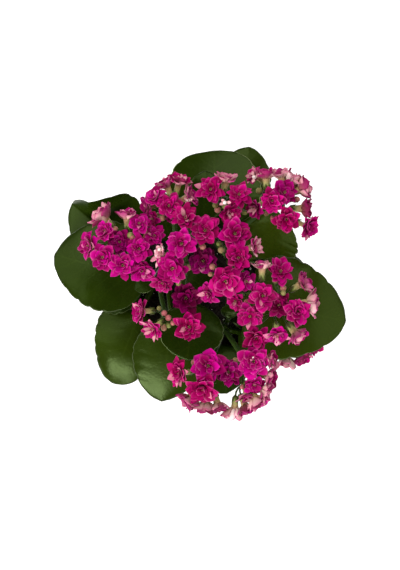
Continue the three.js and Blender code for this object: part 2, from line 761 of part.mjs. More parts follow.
let soilBody = soil();
for (const [name, spec] of Object.entries(STEMS)) {
  // Each stem stands in a plain hole in the soil, a little wider than the stem.
  const bottom = place(...spec.at, STEM_FOOT - CLEARANCE);
  const mouth = place(...spec.at, SOIL_LEVEL + 20);
  const width = STEM_RADIUS + 1.5 * CLEARANCE;
  soilBody = soilBody.subtract(solidOf(tube([bottom, mouth], [width, width], STEM_SIDES, 1)));
  addNode(`stem_${name}`, stem(name), colours.stem);
}
addNode("pot", pot(), colours.pot);
addNode("soil", soilBody, colours.soil);
for (const [name, spec] of Object.entries(LEAVES)) {
  addNode(`leaf_${name}`, leaf(spec), colours.leaf);
}
Object.entries(HEADS).forEach(([name, head], i) => {
  addNode(`head_${name}`, flowerHead(head, 20 * i), colours.bloom);
});

export default plant;
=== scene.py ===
# A potted flaming katy: its blooms, buds, leaves, stems, soil and pot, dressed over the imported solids.
import itertools
import math
import random
from collections import namedtuple

import bmesh
import bpy
import numpy as np
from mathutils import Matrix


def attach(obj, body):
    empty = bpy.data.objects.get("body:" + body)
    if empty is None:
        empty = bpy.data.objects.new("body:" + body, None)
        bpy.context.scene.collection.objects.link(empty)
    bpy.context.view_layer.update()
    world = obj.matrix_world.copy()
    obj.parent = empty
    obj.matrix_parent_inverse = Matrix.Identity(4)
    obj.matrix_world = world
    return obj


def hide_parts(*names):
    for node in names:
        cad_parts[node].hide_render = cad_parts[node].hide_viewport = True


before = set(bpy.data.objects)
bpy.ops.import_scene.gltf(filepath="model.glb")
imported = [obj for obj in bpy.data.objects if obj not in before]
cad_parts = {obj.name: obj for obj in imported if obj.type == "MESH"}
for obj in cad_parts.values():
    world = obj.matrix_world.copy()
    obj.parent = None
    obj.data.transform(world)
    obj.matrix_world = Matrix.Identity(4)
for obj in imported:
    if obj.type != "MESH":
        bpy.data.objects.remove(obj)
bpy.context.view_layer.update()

MM = 0.001
TURN = 2 * math.pi
UP = np.array([0.0, 0.0, 1.0])

# Every random number is drawn from this one source, so the plant is the same each time
rng = random.Random(7)

# The pot and its soil, in millimetres
POT_HEIGHT = 105
RIM_RADIUS = 60
FOOT_RADIUS = 43
POT_WALL = 2
COLLAR_HEIGHT = 24
COLLAR_STEP = 2
FLOOR_THICKNESS = 3
DRAIN_HOLES = 6
DRAIN_RADIUS = 4.5
DRAIN_CIRCLE = 31
SOIL_LEVEL = 92
SOIL_HEAP = 3
SOIL_RELIEF = 0.8
SOIL_SCATTER = 0.45
CRUMB_REACH = 51
CRUMB_SIZE = (0.5, 1.7)
CLEARANCE = 0.3

# The pot's roundings: how far out of the wall or rim a point lies, and how far above the collar's
# foot or below the top
STEP_ROUNDING = ((0.1, -0.2), (0.9, 0.6), (COLLAR_STEP - 0.3, 1.4), (COLLAR_STEP, 2.4))
RIM_ROUNDING = ((-0.25, 4.6), (0.15, 3.8), (0.15, 1.2), (-0.2, 0.4), (-1, 0))
LIP_ROUNDING = ((1, 0), (0.3, 0.4), (0, 1.4))

# The meshes: their sides and rows, the bend in degrees that makes an edge of the pot sharp, how many
# crumbs there are and the share of them that isn't perlite
POT_SIDES = 120
SOIL_SIDES = 128
DRAIN_SIDES = 28
STEM_SIDES = 14
TUBE_SIDES = 10
BRANCH_SIDES = 8
PEDICEL_SIDES = 7
STAMEN_SIDES = 5
STEM_ROWS = 34
PEDUNCLE_ROWS = 16
SHARP_ANGLE = 40
CRUMBS = 900
PERLITE_FROM = 0.93

# The plant, in millimetres and degrees. A head's dome falls by DOME times the square of the distance
# from its middle.
STEM_RADIUS = 4.2
STEM_TOP_RADIUS = 3.1
STEM_FOOT = SOIL_LEVEL - 22
SWELLING_REACH = 1.8
WOODY_DEPTH = 60
PEDUNCLE_RADIUS = 1.7
BRANCH_RADIUS = 1.15
PEDICEL_RADIUS = 0.75
BLOOM_RADIUS = 9.6
BLOOM_DEPTH = 11
FUNNEL_LEAN = 45
FULL_FUNNEL_LEAN = 80
BUD_RADIUS = 2.3
BUD_DROP = 3
CURL_RISE = 5
HEAD_DEPTH = 42
DOME = 0.026
LEAF_THICKNESS = 2
PETIOLE_RADIUS = 2.4

# Shares: where a branch's hub lies between its fork and its blooms, how much a stem swells at a
# leaf, how much painted shade darkens a bloom for each millimetre that it hangs lower, standing in
# for the shade of the blooms above it, the least that this painted shade leaves of its colour, and
# how crimson blooms, how pale petals and how light the margins of leaves are where no more is said
HUB_SHARE = 0.55
SWELLING = 0.07
PAINTED_SHADE_PER_MM = 0.035
LEAST_BRIGHT = 0.5
CRIMSON = 0.15
FEW_PALE = 0.08
FAINT_RIM = 0.15

# How the photograph, taken from straight above, maps to the plant
PHOTO_HEIGHT = 570
PHOTO_CENTRE = (200, 285)
PIXEL = 0.7
BLOOM_LEVEL = 215
EYE_HEIGHT = 1215

# The three stems: the photograph's pixel that each stands under, and how high it grows
Stem = namedtuple("Stem", "at top")
STEMS = {
    "left": Stem((166, 262), 152),
    "right": Stem((231, 262), 154),
    "front": Stem((224, 328), 130),
}

# The flower heads. The peduncle leaves its stem at the height leaves_at, bends by bow to its left and
# forks under the pixel fork. top is the height of the highest bloom and depth how far the fork lies
# below it, all in millimetres. Each cyme lists the blooms of one branch: pixel x, pixel y, the
# direction that it leans to, its lean from upright, how far it hangs below its head's dome, its size
# and, where more of them are pale than FEW_PALE, the share of its pale petals. crimson says how
# crimson the blooms are and deeper how much more so at the sides. curled are pale petals curled over
# the blooms.
# Pale and curled petals are partly paler petal backs and partly painted highlight.
Head = namedtuple(
    "Head",
    "stem leaves_at fork top cymes buds bow depth crimson deeper curled",
    defaults=(0, HEAD_DEPTH, CRIMSON, 0, ()),
)
HEADS = {
    "left": Head("left", 148, fork=(126, 245), top=226, crimson=-0.45, cymes=[
        [(90, 245, 180, 54, 0, 0.95), (103, 257, 235, 10, 0, 0.92), (106, 232, 150, 32, 0, 0.82, 0.1)],
        [(103, 217, 135, 80, 3, 1, 0.6), (127, 216, 92, 76, 1, 0.75, 0.4), (139, 224, 75, 22, 0, 0.8)],
        [(120, 242, 0, 0, 10, 0.85), (139, 249, 60, 8, 1, 0.92), (154, 236, 50, 24, 0, 0.78, 0.2)],
        [(123, 265, 265, 10, 0, 0.93), (142, 270, 275, 26, 0, 0.84)],
    ], buds=[(114, 228), (131, 235), (133, 238)]),
    "upper_left": Head("left", 136, fork=(168, 202), top=221, bow=-6, cymes=[
        [(156, 198, 135, 36, 0, 0.8, 0.3), (148, 206, 185, 66, 6, 0.75), (153, 218, 215, 45, 5, 0.65)],
        [(166, 185, 115, 70, 3, 0.75, 0.25), (179, 182, 75, 62, 0, 0.8, 0.35),
         (189, 196, 30, 66, 2, 0.8, 0.35)],
        [(169, 206, 100, 6, 0, 0.86), (173, 214, 280, 60, 9, 0.7)],
    ], buds=[(162, 220), (182, 201)], curled=[(188, 200)]),
    "top": Head("right", 136, fork=(226, 199), top=224, cymes=[
        [(211, 190, 120, 18, 0, 0.98), (226, 179, 80, 78, 1, 0.85, 0.45)],
        [(239, 195, 80, 16, 0, 0.85), (229, 211, 310, 40, 2, 0.82, 0.4)],
    ], buds=[(214.5, 206.5), (217, 212), (241, 211.5), (246.5, 214)], curled=[(225, 202)]),
    "upper_right": Head("right", 132, fork=(279, 203), top=226, bow=9, deeper=0.6, cymes=[
        [(266, 175, 92, 84, 1, 0.82, 0.3), (255, 176, 150, 60, 4, 0.7, 0.35),
         (256, 207, 215, 48, 5, 0.8, 0.3)],
        [(272, 201, 270, 6, 0, 0.88), (284, 193, 45, 25, 4, 0.95)],
        [(281, 175, 100, 90, 1, 0.72, 0.6), (292, 180, 65, 84, 3, 0.8, 0.8), (299, 184, 40, 76, 6, 0.7, 0.5)],
        [(303, 189, 20, 84, 1, 0.9, 0.3), (305, 208.5, 0, 84, 3, 0.85)],
        [(286, 219, 290, 20, 0, 0.95), (306.5, 226, 335, 46, 0, 0.95)],
    ], buds=[(257, 190), (265, 215), (272, 220), (299, 199)], curled=[(254.5, 177)]),
    "centre_left": Head("left", 149, fork=(187, 248), top=238, cymes=[
        [(182, 244, 130, 10, 0, 1.05), (161, 255, 165, 64, 2, 0.75, 0.75), (173, 268, 240, 18, 1, 1.08)],
        [(186, 219, 110, 28, 0, 0.95, 0.35), (205, 231, 90, 12, 1, 1.05)],
        [(203, 261, 0, 4, 13, 1.05), (163, 282, 245, 44, 4, 0.85), (186, 298, 270, 4, 20, 1.08)],
    ], buds=[(204, 247.5), (189, 270), (182, 280), (178, 286)], curled=[(159.5, 249.5)]),
    "centre_right": Head("right", 151, fork=(235, 260), top=238, cymes=[
        [(235, 234, 90, 10, 0, 1.1, 0.12), (254, 247, 10, 62, 1, 0.8, 0.65)],
        [(238, 258, 20, 10, 2, 0.92), (262, 266, 90, 80, 4, 0.65, 0.6), (245, 281, 340, 40, 3, 0.8, 0.35)],
        [(226, 281, 235, 12, 0, 1.15), (209, 293, 215, 46, 5, 0.8, 0.1)],
    ], buds=[(217, 243), (219, 250), (210.5, 266), (208.5, 274.5)]),
    "right": Head("right", 146, fork=(276, 300), top=228, cymes=[
        [(280, 272, 55, 28, 0, 0.98), (303, 283, 30, 70, 0, 0.9, 0.3), (297, 311, 340, 18, 0, 0.98)],
        [(263, 296, 90, 5, 0, 1.02), (236, 300, 220, 36, 1, 0.75, 0.3), (250, 316, 235, 12, 1, 0.92)],
        [(279, 305, 0, 0, 11, 0.9), (311, 303, 0, 84, 1, 0.95, 0.55), (297, 335, 310, 80, 2, 0.85, 0.45)],
        [(256, 337, 265, 22, 0, 0.98), (277, 334, 272, 46, 0, 0.9, 0.3)],
    ], buds=[(274, 278.5), (283.5, 287), (283.5, 292.5), (263, 312), (244.5, 302)]),
    "front_left": Head("front", 120, fork=(206, 376), top=208, crimson=-0.1, cymes=[
        [(208, 366, 90, 6, 0, 1.15), (228, 372, 0, 18, 5, 1)],
        [(181, 373, 185, 50, 1, 1), (187, 400, 222, 80, 2, 0.95, 0.15)],
        [(202, 387, 265, 32, 1, 1.14), (206, 406, 264, 92, 4, 0.95, 0.3), (194, 402, 245, 84, 5, 0.75, 0.3)],
        [(218, 406, 285, 86, 3, 0.8, 0.35)],
    ], buds=[(196, 356), (193, 360.5), (237, 373)]),
    "front_right": Head("front", 127, fork=(254, 374), top=208, cymes=[
        [(253, 361, 300, 8, 0, 1.15), (270, 361, 10, 72, 1, 0.8, 0.4), (269, 377, 345, 74, 4, 0.8, 0.3)],
        [(254, 384, 290, 36, 4, 0.75), (265, 391, 335, 76, 3, 0.88, 0.5), (257, 401, 300, 80, 1, 1, 0.3)],
        [(234.5, 411, 267, 96, 1, 0.9, 0.75), (247, 396, 285, 66, 6, 0.72, 0.35),
         (246, 408, 292, 78, 5, 0.85)],
    ], buds=[(233, 359), (241, 388), (246, 376)], curled=[(253, 357)]),
    "side": Head("left", 137, fork=(168, 318), top=200, bow=-5, depth=30, cymes=[
        [(142, 311, 180, 58, 0, 0.85), (154, 328, 220, 48, 0, 0.88, 0.25)],
        [(189, 327, 0, 4, 0, 1.08)],
    ], buds=[(158.5, 307), (164.5, 312.5), (169.5, 318), (174, 324), (169.5, 327), (164, 330)]),
    "low": Head("right", 112, fork=(292, 350), top=140, depth=18, cymes=[
        [(303, 356, 300, 74, 0, 0.85), (287, 361, 260, 92, 0, 0.85, 0.5), (315, 348, 315, 80, 0, 0.75)],
    ], buds=[(296, 358)]),
}

# The leaves. Each grows from its stem at a height; base and tip are its blade's ends as (pixel x,
# pixel y, height). halves are the widths of its left and right half seen from its base, arch how far
# its middle rises and cup how far its margins turn up, in millimetres. peak is where along the blade
# it is widest and blunt how round its ends are, the lower the rounder. fold is how far its right half
# is folded up near the tip, in degrees. light is how much lighter its green is, partly a lighter leaf
# and partly painted sheen where the leaf catches the lamps, and rim how pale its margin.
Leaf = namedtuple(
    "Leaf",
    "stem height base tip halves arch cup peak blunt fold light rim",
    defaults=(0.47, 0.55, 0, 0, FAINT_RIM),
)
LEAVES = {
    "left_large": Leaf(
        "left", 134, (143, 280, 150), (55, 254.5, 147), (31.2, 36.5), 7, -3, peak=0.42, blunt=0.5, light=0.07
    ),
    "upper_left": Leaf(
        "left", 120, (130, 252, 134), (72, 204, 138), (24, 33.8), 4, 5, peak=0.43, fold=68, light=0.06
    ),
    "upper_left_inner": Leaf("left", 115, (171, 238, 126), (153, 192, 130), (15.5, 15.5), 3, 3),
    "left_small": Leaf("left", 149, (153, 281, 166), (135, 289, 165), (6, 6), 2, 1, rim=0.6),
    "left_low": Leaf("left", 113, (140, 286, 118), (84, 288, 100), (21, 23), 8, 0),
    "top_large": Leaf(
        "right", 130, (216, 222, 146), (214, 151, 144), (35, 34.5), 5, 6, blunt=0.36, light=0.07, rim=0.8
    ),
    "top_low": Leaf("right", 112, (239, 208, 122), (249, 147, 128), (21, 21), 4, -2, light=0.2),
    "top_inner": Leaf("right", 146, (203, 222, 160), (206, 171, 165), (14, 14), 3, 3),
    "right_small": Leaf(
        "right", 124, (257, 254, 136), (278, 212, 138), (23, 27), 5, -6, peak=0.36, light=0.6
    ),
    "right_large": Leaf(
        "right", 140, (249, 300, 152), (345.5, 321, 150), (37.6, 39.5), 8, -3, peak=0.32, blunt=0.5, light=0.3
    ),
    "right_low": Leaf("right", 110, (262, 262, 116), (306, 270, 104), (11, 21), 8, 0),
    "front_left_outer": Leaf(
        "left", 97, (138.5, 316, 112), (112.5, 382.5, 99), (30.5, 28.2), 7, -6,
        peak=0.27, blunt=0.41, light=0.2
    ),
    "front_left_inner": Leaf(
        "left", 123, (171, 322, 131), (161.5, 401, 111), (29.5, 26.5), 4, -4, light=0.15
    ),
    "front_centre": Leaf("left", 131, (194, 306, 142), (187, 360, 142), (24.5, 24.5), 2, 2, rim=0.45),
    "front_right": Leaf("front", 102, (217, 347, 110), (227, 393, 108), (21, 21), 5, 2),
    "front_right_low": Leaf("front", 114, (242, 333, 125), (276, 350, 128), (17, 17), 3, 0),
    "centre_low": Leaf("left", 143, (179, 273, 150), (212, 290, 152), (14, 13), 3, 1),
    "right_inner": Leaf("right", 119, (238, 286, 123), (250, 330, 120), (15, 14), 4, 0),
    "front_small": Leaf("front", 125, (229, 317, 136), (230, 304, 140), (6.5, 6.5), 2, 1),
}

# The layers of a bloom's petals: how many, their reach as a share of the bloom's radius, the angles
# of their tips where the bloom is flat, ruffled or a funnel, how wide they are for their length, and
# how high their roots lie in millimetres. Each layer is turned by LAYER_TURN radians more.
LAYER_TURN = 0.6
LAYERS = (
    (6, 1.16, (-4, 12, 50), 0.74, 0.0),
    (6, 1.06, (8, 26, 60), 0.74, 0.5),
    (5, 0.9, (24, 40, 69), 0.76, 0.9),
    (4, 0.7, (42, 54, 76), 0.8, 1.2),
    (3, 0.48, (56, 66, 82), 0.8, 1.4),
)

# How much blooms differ in the angles of all their tips in degrees and in hue, and how much the petals
# of one differ in length, width and spacing, as shares of these, and in the angles of their tips
DROOP = (-8, 6)
HUE_SCATTER = 0.4
LENGTH_SCATTER = 0.17
WIDTH_SCATTER = (0.78, 1.18)
ANGLE_SCATTER = 0.22
TIP_SCATTER = 19

# A petal: the columns of its mesh and its thickness at each, its rows, the angles in degrees by which
# its tip may curl and tilt, its sway as a share of its length, its cup, crease and wave as shares of
# its width, and its half thickness near its root and at its tip in millimetres
PETAL_ACROSS = np.array([-1, -0.78, -0.4, 0, 0.4, 0.78, 1])
PETAL_BODY = np.array([0, 0.85, 1, 1, 1, 0.85, 0])
PETAL_ROWS = 8
PETAL_CURL = (-26, 8)
PETAL_TILT = 22
PETAL_SWAY = 0.12
PETAL_CUP = (0.06, 0.36)
PETAL_CREASE = (0.02, 0.07)
PETAL_WAVE = 0.1
PETAL_DEPTH = 0.34
PETAL_TIP_DEPTH = 0.18

# The corolla's tube: heights, radii where the bloom is flat and where it is a funnel, and how far
# along the colours of a stalk each ring lies
TUBE = (
    (0.0, 0.9, 0.9, 0.12),
    (0.6, 1.75, 1.8, 0.15),
    (2.2, 2.1, 2.2, 0.28),
    (4.4, 1.9, 2.35, 0.45),
    (6.6, 1.7, 2.6, 0.56),
    (8.4, 1.8, 2.9, 0.66),
    (9.8, 2.5, 3.1, 0.8),
    (10.6, 3.1, 3.1, 0.95),
    (11.2, 1.9, 1.9, 0.3),
    (10.4, 1.2, 1.2, 0.1),
)

# The stamens of a bloom, and the radii along each in millimetres
STAMENS = 5
STAMEN_RADII = (0.16, 0.14, 0.32, 0.12)

# Bracts and sepals: their lengths and half widths in millimetres, the columns of their meshes, and for
# each row its angle above the bloom's plane and its width as a share of the whole
BRACT_LENGTH = 4.2
BRACT_HALF = 0.6
SEPAL_LENGTH = 5.6
SEPAL_HALF = 1.35
SEPAL_ACROSS = np.array([-1.0, -0.5, 0.0, 0.5, 1.0])
SEPAL = ((50, 0.7), (78, 1), (84, 0.95), (84, 0.62), (74, 0.1))

# A bud: its length in radii, then shares of that length, its girth there as a share of its radius, and
# how far along the colours of a stalk it lies
BUD_LENGTH = 3
BUD = (
    (0, 0.35, 0.1), (0.1, 0.62, 0.12), (0.3, 0.86, 0.3), (0.55, 1, 0.62),
    (0.75, 0.92, 0.75), (0.9, 0.62, 0.82), (1, 0.12, 0.86),
)

# A curled petal, and the knot where a head forks: heights and radii in millimetres. CURL_PETAL is the
# length and width of the small petals round a curled one.
CURL_PETAL = (5.6, 2.4)
CURL = ((-7, 0.5), (-5.4, 0.9), (-4.2, 1.3), (-3, 1.5), (-1.8, 1.3), (-0.8, 0.9), (-0.2, 0.5), (0, 0.1))
KNOT_RISE = 3
KNOT = (
    (0, PEDUNCLE_RADIUS), (1.2, 1.15 * PEDUNCLE_RADIUS), (KNOT_RISE, 1.2 * PEDUNCLE_RADIUS),
    (KNOT_RISE + 2.2, 0.7 * PEDUNCLE_RADIUS), (KNOT_RISE + 3, 0.4),
)

# A leaf: the columns and rows of its mesh, the teeth along its margin and their depth as a share of
# its half width, and the ripple of its margin and the depth of its midrib for each 60 mm of width
LEAF_HALF = np.array([0.05, 0.15, 0.3, 0.45, 0.6, 0.75, 0.88, 0.965, 1])
LEAF_ACROSS = np.array([*-LEAF_HALF[::-1], 0, *LEAF_HALF])
BLADE_ROWS = 40
PETIOLE_ROWS = 8
SCALLOPS = 6.5
SCALLOP_DEPTH = 0.045
RIPPLE = 0.9
RIB_DEPTH = 0.25

# The colours of petals from root to tip, near black at the root as painted shade deep in the
# throat, and of their shades, margins and veins. The light margin is partly a paler rim and partly
# painted highlight.
PURPLE_PETAL = ((0, (0.064, 0, 0.01)), (0.35, (0.28, 0, 0.078)), (1, (0.58, 0, 0.25)))
CRIMSON_PETAL = ((0, (0.064, 0, 0.007)), (0.35, (0.257, 0, 0.042)), (1, (0.535, 0, 0.152)))
BACK_OF_PETAL = (
    (0, (0.462, 0.364, 0.154)), (0.25, (0.56, 0.294, 0.224)),
    (0.6, (0.546, 0.168, 0.252)), (1, (0.462, 0.035, 0.189)),
)
DEEP_BACK_OF_PETAL = (
    (0, (0.385, 0.252, 0.112)), (0.25, (0.42, 0.112, 0.14)),
    (0.6, (0.364, 0.042, 0.14)), (1, (0.35, 0.007, 0.119)),
)
PALE_PETAL = (
    (0, (0.68, 0.5, 0.34)), (0.4, (0.92, 0.6, 0.5)),
    (0.75, (0.92, 0.52, 0.52)), (1, (0.84, 0.28, 0.38)),
)
# The white of the palest petals is partly painted highlight
WHITE_PETAL_AND_HIGHLIGHT = (0.95, 0.83, 0.79)
PETAL_SHADES = ((0, (0.5, 0.42, 0.37)), (0.5, (0.84, 0.8, 0.8)), (1, (1.01, 1.01, 1.1)))
PETAL_VEINS = (0.503, 0.003, 0.23)
PETAL_MARGIN_AND_HIGHLIGHT = (0.75, 0.19, 0.38)
PALE_PETAL_MARGIN = (0.6, 0.064, 0.256)

# The colours of stalks and tubes along them, of the tips of buds and of the old foot of a stem
STALK = (
    (0, (0.0154, 0.035, 0.0028)), (0.06, (0.042, 0.084, 0.0084)), (0.14, (0.112, 0.189, 0.028)),
    (0.28, (0.238, 0.322, 0.07)), (0.45, (0.392, 0.406, 0.14)), (0.6, (0.518, 0.35, 0.168)),
    (0.8, (0.518, 0.21, 0.196)), (1, (0.42, 0.021, 0.168)),
)
BUD_TIPS = (
    (0, (0.525, 0.14, 0.154)), (0.5, (0.434, 0.21, 0.14)),
    (0.75, (0.322, 0.252, 0.098)), (1, (0.21, 0.252, 0.063)),
)
OLD_STEM = (0.1, 0.085, 0.03)

# The colours of leaves, soil and pot
LEAF_GREENS = ((0.3, (0.0052, 0.0115, 0.0003)), (0.7, (0.0108, 0.0225, 0.0007)))
LIGHTER_LEAF_AND_SHEEN = (0.055, 0.086, 0.004)
LEAF_VEINS = (0.062, 0.0992, 0.0124)
LEAF_MARGIN = (0.3, 0.36, 0.15)
BACK_OF_LEAF = (0.0372, 0.0682, 0.0124)
PEAT = ((0.3, (0.003, 0.0018, 0.0012)), (0.7, (0.0144, 0.009, 0.0054)))
BARK = ((0, (0.5, 0.45, 0.4)), (0.9, (2.2, 1.8, 1.5)))
PERLITE = (0.7, 0.68, 0.62)
TERRACOTTA = ((0.3, (0.231, 0.0595, 0.0245)), (0.7, (0.294, 0.0805, 0.035)))
SCUFF = (0.6, 0.3, 0.2)

# The studio: each lamp's place and size in metres and its power in watts, the point that they light,
# the light from all round, and how far the floor reaches
LAMPS = {
    "back": ((-0.45, 0.85, 1.8), (1.4, 1.4), 23),
    "left": ((-1.5, 0.2, 1.5), (1.7, 1.7), 19),
    "right": ((1.5, -0.2, 1.5), (1.7, 1.7), 16),
    "front": ((-0.7, -1.65, 1.15), (1.2, 0.6), 42),
}
LAMP_AIM = (0, 0, 0.15)
WORLD_STRENGTH = 0.12
FLOOR_REACH = 4


# Vectors, places and curves

def place(x, y, z):
    """A pixel of the photograph as a point of the plant at height z, in millimetres."""
    scale = PIXEL * (EYE_HEIGHT - z) / (EYE_HEIGHT - BLOOM_LEVEL)
    return np.array([(x - PHOTO_CENTRE[0]) * scale, (PHOTO_CENTRE[1] - y) * scale, float(z)])


def unit(vector):
    return vector / max(np.linalg.norm(vector), 1e-9)


def square_to(axis):
    """Two directions square to axis."""
    side = np.cross(UP, axis)
    if np.linalg.norm(side) < 1e-3:
        side = np.array([1.0, 0.0, 0.0])
    side = unit(side)
    return side, unit(np.cross(axis, side))


def turned(a, b, angle):
    """Direction a turned by an angle towards direction b."""
    return np.cos(angle) * a + np.sin(angle) * b


def level(angle):
    """The level direction at an angle round the pot's axis."""
    return np.array([math.cos(angle), math.sin(angle), 0])


def bezier(points, t):
    """A point of the Bezier curve with these control points."""
    while len(points) > 1:
        points = [a + (b - a) * t for a, b in zip(points, points[1:])]
    return points[0]


def bezier_path(points, count):
    return [bezier(points, t) for t in np.linspace(0, 1, count)]


def smooth_path(points, count):
    """count points on the centripetal Catmull-Rom curve through points."""
    ends = [2 * points[0] - points[1]] + list(points) + [2 * points[-1] - points[-2]]
    spans = len(points) - 1
    path = []
    for i in range(count):
        position = spans * i / (count - 1)
        k = min(int(position), spans - 1)
        p = ends[k : k + 4]
        knots = [0.0]
        for a, b in zip(p, p[1:]):
            knots.append(knots[-1] + math.sqrt(np.linalg.norm(b - a)))
        t = knots[1] + (position - k) * (knots[2] - knots[1])

        def between(a, b, t0, t1):
            return a + (b - a) * (t - t0) / (t1 - t0)

        first = [between(p[j], p[j + 1], knots[j], knots[j + 1]) for j in range(3)]
        second = [between(first[j], first[j + 1], knots[j], knots[j + 2]) for j in range(2)]
        path.append(between(second[0], second[1], knots[1], knots[2]))
    return path


def smoothstep(x, low, high):
    x = min(1.0, max(0.0, (x - low) / (high - low)))
    return x * x * (3 - 2 * x)


# Meshes

class Shape:
    """A mesh in the making, in millimetres, with two colours at each point for its material. tone is
    how far along its petal, tube or blade the point lies, how far across, a random share, and 1 on
    undersides, old wood and perlite. kind is the hue, paleness, light margin and painted shade of a
    whole petal, where paleness and the light margin are partly painted highlight, or the lighter
    green, partly painted sheen, and the margin of a leaf."""

    def __init__(self):
        self.points = []
        self.tones = []
        self.kinds = []
        self.faces = []
        self.count = 0
        self.kind = (0.5, 0.0, 0.0, 1.0)

    def add(self, points, tones, faces):
        """Adds points with a tone for each or one for all, and the faces between them."""
        self.points.append(np.asarray(points, float))
        self.tones.append(np.broadcast_to(np.asarray(tones, float), (len(points), 4)))
        self.kinds.append(np.tile(self.kind, (len(points), 1)))
        self.faces.extend(tuple(self.count + i for i in face) for face in faces)
        self.count += len(points)


def make_mesh(name, shape):
    mesh = bpy.data.meshes.new(name)
    mesh.from_pydata((np.concatenate(shape.points) * MM).tolist(), [], shape.faces)
    return mesh


def add_object(name, data):
    item = bpy.data.objects.new(name, data)
    bpy.context.scene.collection.objects.link(item)
    return item


def make_piece(name, shape, slot, node):
    """A smooth mesh object of a shape, with the material of its slot, that stands for a CAD node."""
    mesh = make_mesh(name, shape)
    for colour, values in (("tone", shape.tones), ("kind", shape.kinds)):
        layer = mesh.color_attributes.new(colour, "FLOAT_COLOR", "POINT")
        layer.data.foreach_set("color", np.concatenate(values).astype(np.float32).ravel())
    mesh.shade_smooth()
    mesh.materials.append(materials[slot])
    piece = add_object(name, mesh)
    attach(piece, "root")
    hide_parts(node)
    return piece


def ring_faces(rings, sides):
    """The faces between rings of points that follow each other."""
    faces = []
    for k in range(rings - 1):
        low = k * sides
        high = low + sides
        for i in range(sides):
            j = (i + 1) % sides
            faces.append((low + i, low + j, high + j, high + i))
    return faces


def closed_faces(rings, sides):
    """The faces between rings of points and over both ends."""
    last = (rings - 1) * sides
    return ring_faces(rings, sides) + [tuple(reversed(range(sides))), tuple(range(last, last + sides))]


def add_tube(shape, path, radii, sides, tones, rough=0.0):
    """A closed round tube along a path. Its radii and tones are one for each point of the path or one
    for all. rough is the share by which the radii differ."""
    path = [np.asarray(p, float) for p in path]
    radii = np.broadcast_to(radii, len(path))
    angles = np.arange(sides) * TURN / sides
    rings = []
    side = None
    for i, centre in enumerate(path):
        before = path[max(i - 1, 0)]
        after = path[min(i + 1, len(path) - 1)]
        axis = unit(after - before)
        if side is None:
            side = square_to(axis)[0]
        side = unit(side - axis * np.dot(side, axis))
        radius = np.full(sides, radii[i], float)
        if rough:
            radius *= 1 + rough * np.array([rng.uniform(-1, 1) for _ in range(sides)])
        rings.append(centre + radius[:, None] * turned(side, np.cross(axis, side), angles[:, None]))
    tones = np.repeat(np.broadcast_to(tones, (len(path), 4)), sides, axis=0)
    shape.add(np.concatenate(rings), tones, closed_faces(len(path), sides))


def ring(radius, height, sides):
    """Points round the pot's axis, at one height or each at its own."""
    angles = np.arange(sides) * TURN / sides
    return np.column_stack([radius * np.cos(angles), radius * np.sin(angles), np.broadcast_to(height, sides)])


def add_turned_body(shape, rings, bottom, top, tone):
    """A closed surface of rings round the pot's axis, between two heights on the axis."""
    sides = len(rings[0])
    foot = len(rings) * sides
    last = foot - sides
    faces = ring_faces(len(rings), sides)
    for i in range(sides):
        j = (i + 1) % sides
        faces.append((foot, j, i))
        faces.append((last + i, last + j, foot + 1))
    shape.add(np.concatenate([*rings, [UP * bottom, UP * top]]), tone, faces)


def add_blade(shape, rows, across):
    """A closed thin shell. A row goes round both its faces and is given as its centre, two directions,
    how far its points lie along each, half thickness, and its place along with a random share."""
    points = []
    tones = []
    for centre, side, up, out, lift, depth, (along, share) in rows:
        middle = centre + np.outer(out, side) + np.outer(lift, up)
        raised = np.outer(depth, up)
        points.extend([middle + raised, (middle - raised)[-2:0:-1]])
        tone = np.column_stack(np.broadcast_arrays(float(along), np.abs(across), share, 0.0))
        tones.extend([tone, tone[-2:0:-1] + [0, 0, 0, 1]])
    shape.add(np.concatenate(points), np.concatenate(tones), closed_faces(len(rows), 2 * len(across) - 2))


# Petals

def petal_outline(t, pointed):
    """A petal's half width at t along it, as a share of the whole: a claw, then a broad blade."""
    body = np.sin(np.pi * (0.05 + 0.95 * np.clip(t, 0, 1) ** 2.1))
    tip = np.clip((1 - t) / (0.18 + 0.34 * pointed), 0, 1) ** (0.45 + 0.3 * pointed)
    return 0.05 + 0.95 * np.clip(body, 0, 1) ** 0.62 * (0.25 + 0.75 * tip)


def add_petal(shape, root, out, axis, length, width, start, end, pointed):
    """A petal that leaves its root at the angle start above the bloom's plane and bends to end."""
    t = 1 - (1 - np.linspace(0, 1, PETAL_ROWS)) ** 1.5
    curl = math.radians(rng.uniform(*PETAL_CURL))
    angles = end + (start - end) * (1 - t) ** 3 + curl * t**3
    step = length * np.diff(t)
    reach = np.concatenate([[0], np.cumsum(np.cos(angles[:-1]) * step)])
    rise = np.concatenate([[0], np.cumsum(np.sin(angles[:-1]) * step)])
    side = np.cross(axis, out)
    tilt = math.radians(rng.uniform(-PETAL_TILT, PETAL_TILT))
    sway = rng.uniform(-PETAL_SWAY, PETAL_SWAY) * length
    cup = rng.uniform(*PETAL_CUP) * width
    crease = rng.uniform(*PETAL_CREASE) * width
    phase = rng.uniform(0, TURN)
    shade = rng.random()
    u = PETAL_ACROSS
    rows = []
    for k, along in enumerate(t):
        up = turned(axis, -out, angles[k])
        across = turned(side, up, tilt * along)
        above = turned(up, -side, tilt * along)
        centre = root + out * reach[k] + axis * rise[k] + side * sway * along**2
        share = petal_outline(along, pointed)
        wave = np.sin(4.5 * along + phase + 1.5 * np.sign(u)) * np.abs(u) ** 3 * along
        fold = crease * (np.abs(u) ** 0.7 - 1)
        lift = (cup * u**2 * (1 - 0.5 * along) + fold) * share + PETAL_WAVE * width * wave
        depth = (PETAL_DEPTH + (PETAL_TIP_DEPTH - PETAL_DEPTH) * along) * PETAL_BODY
        rows.append((centre, across, above, u * width / 2 * share, lift, depth, (along, shade)))
    add_blade(shape, rows, u)


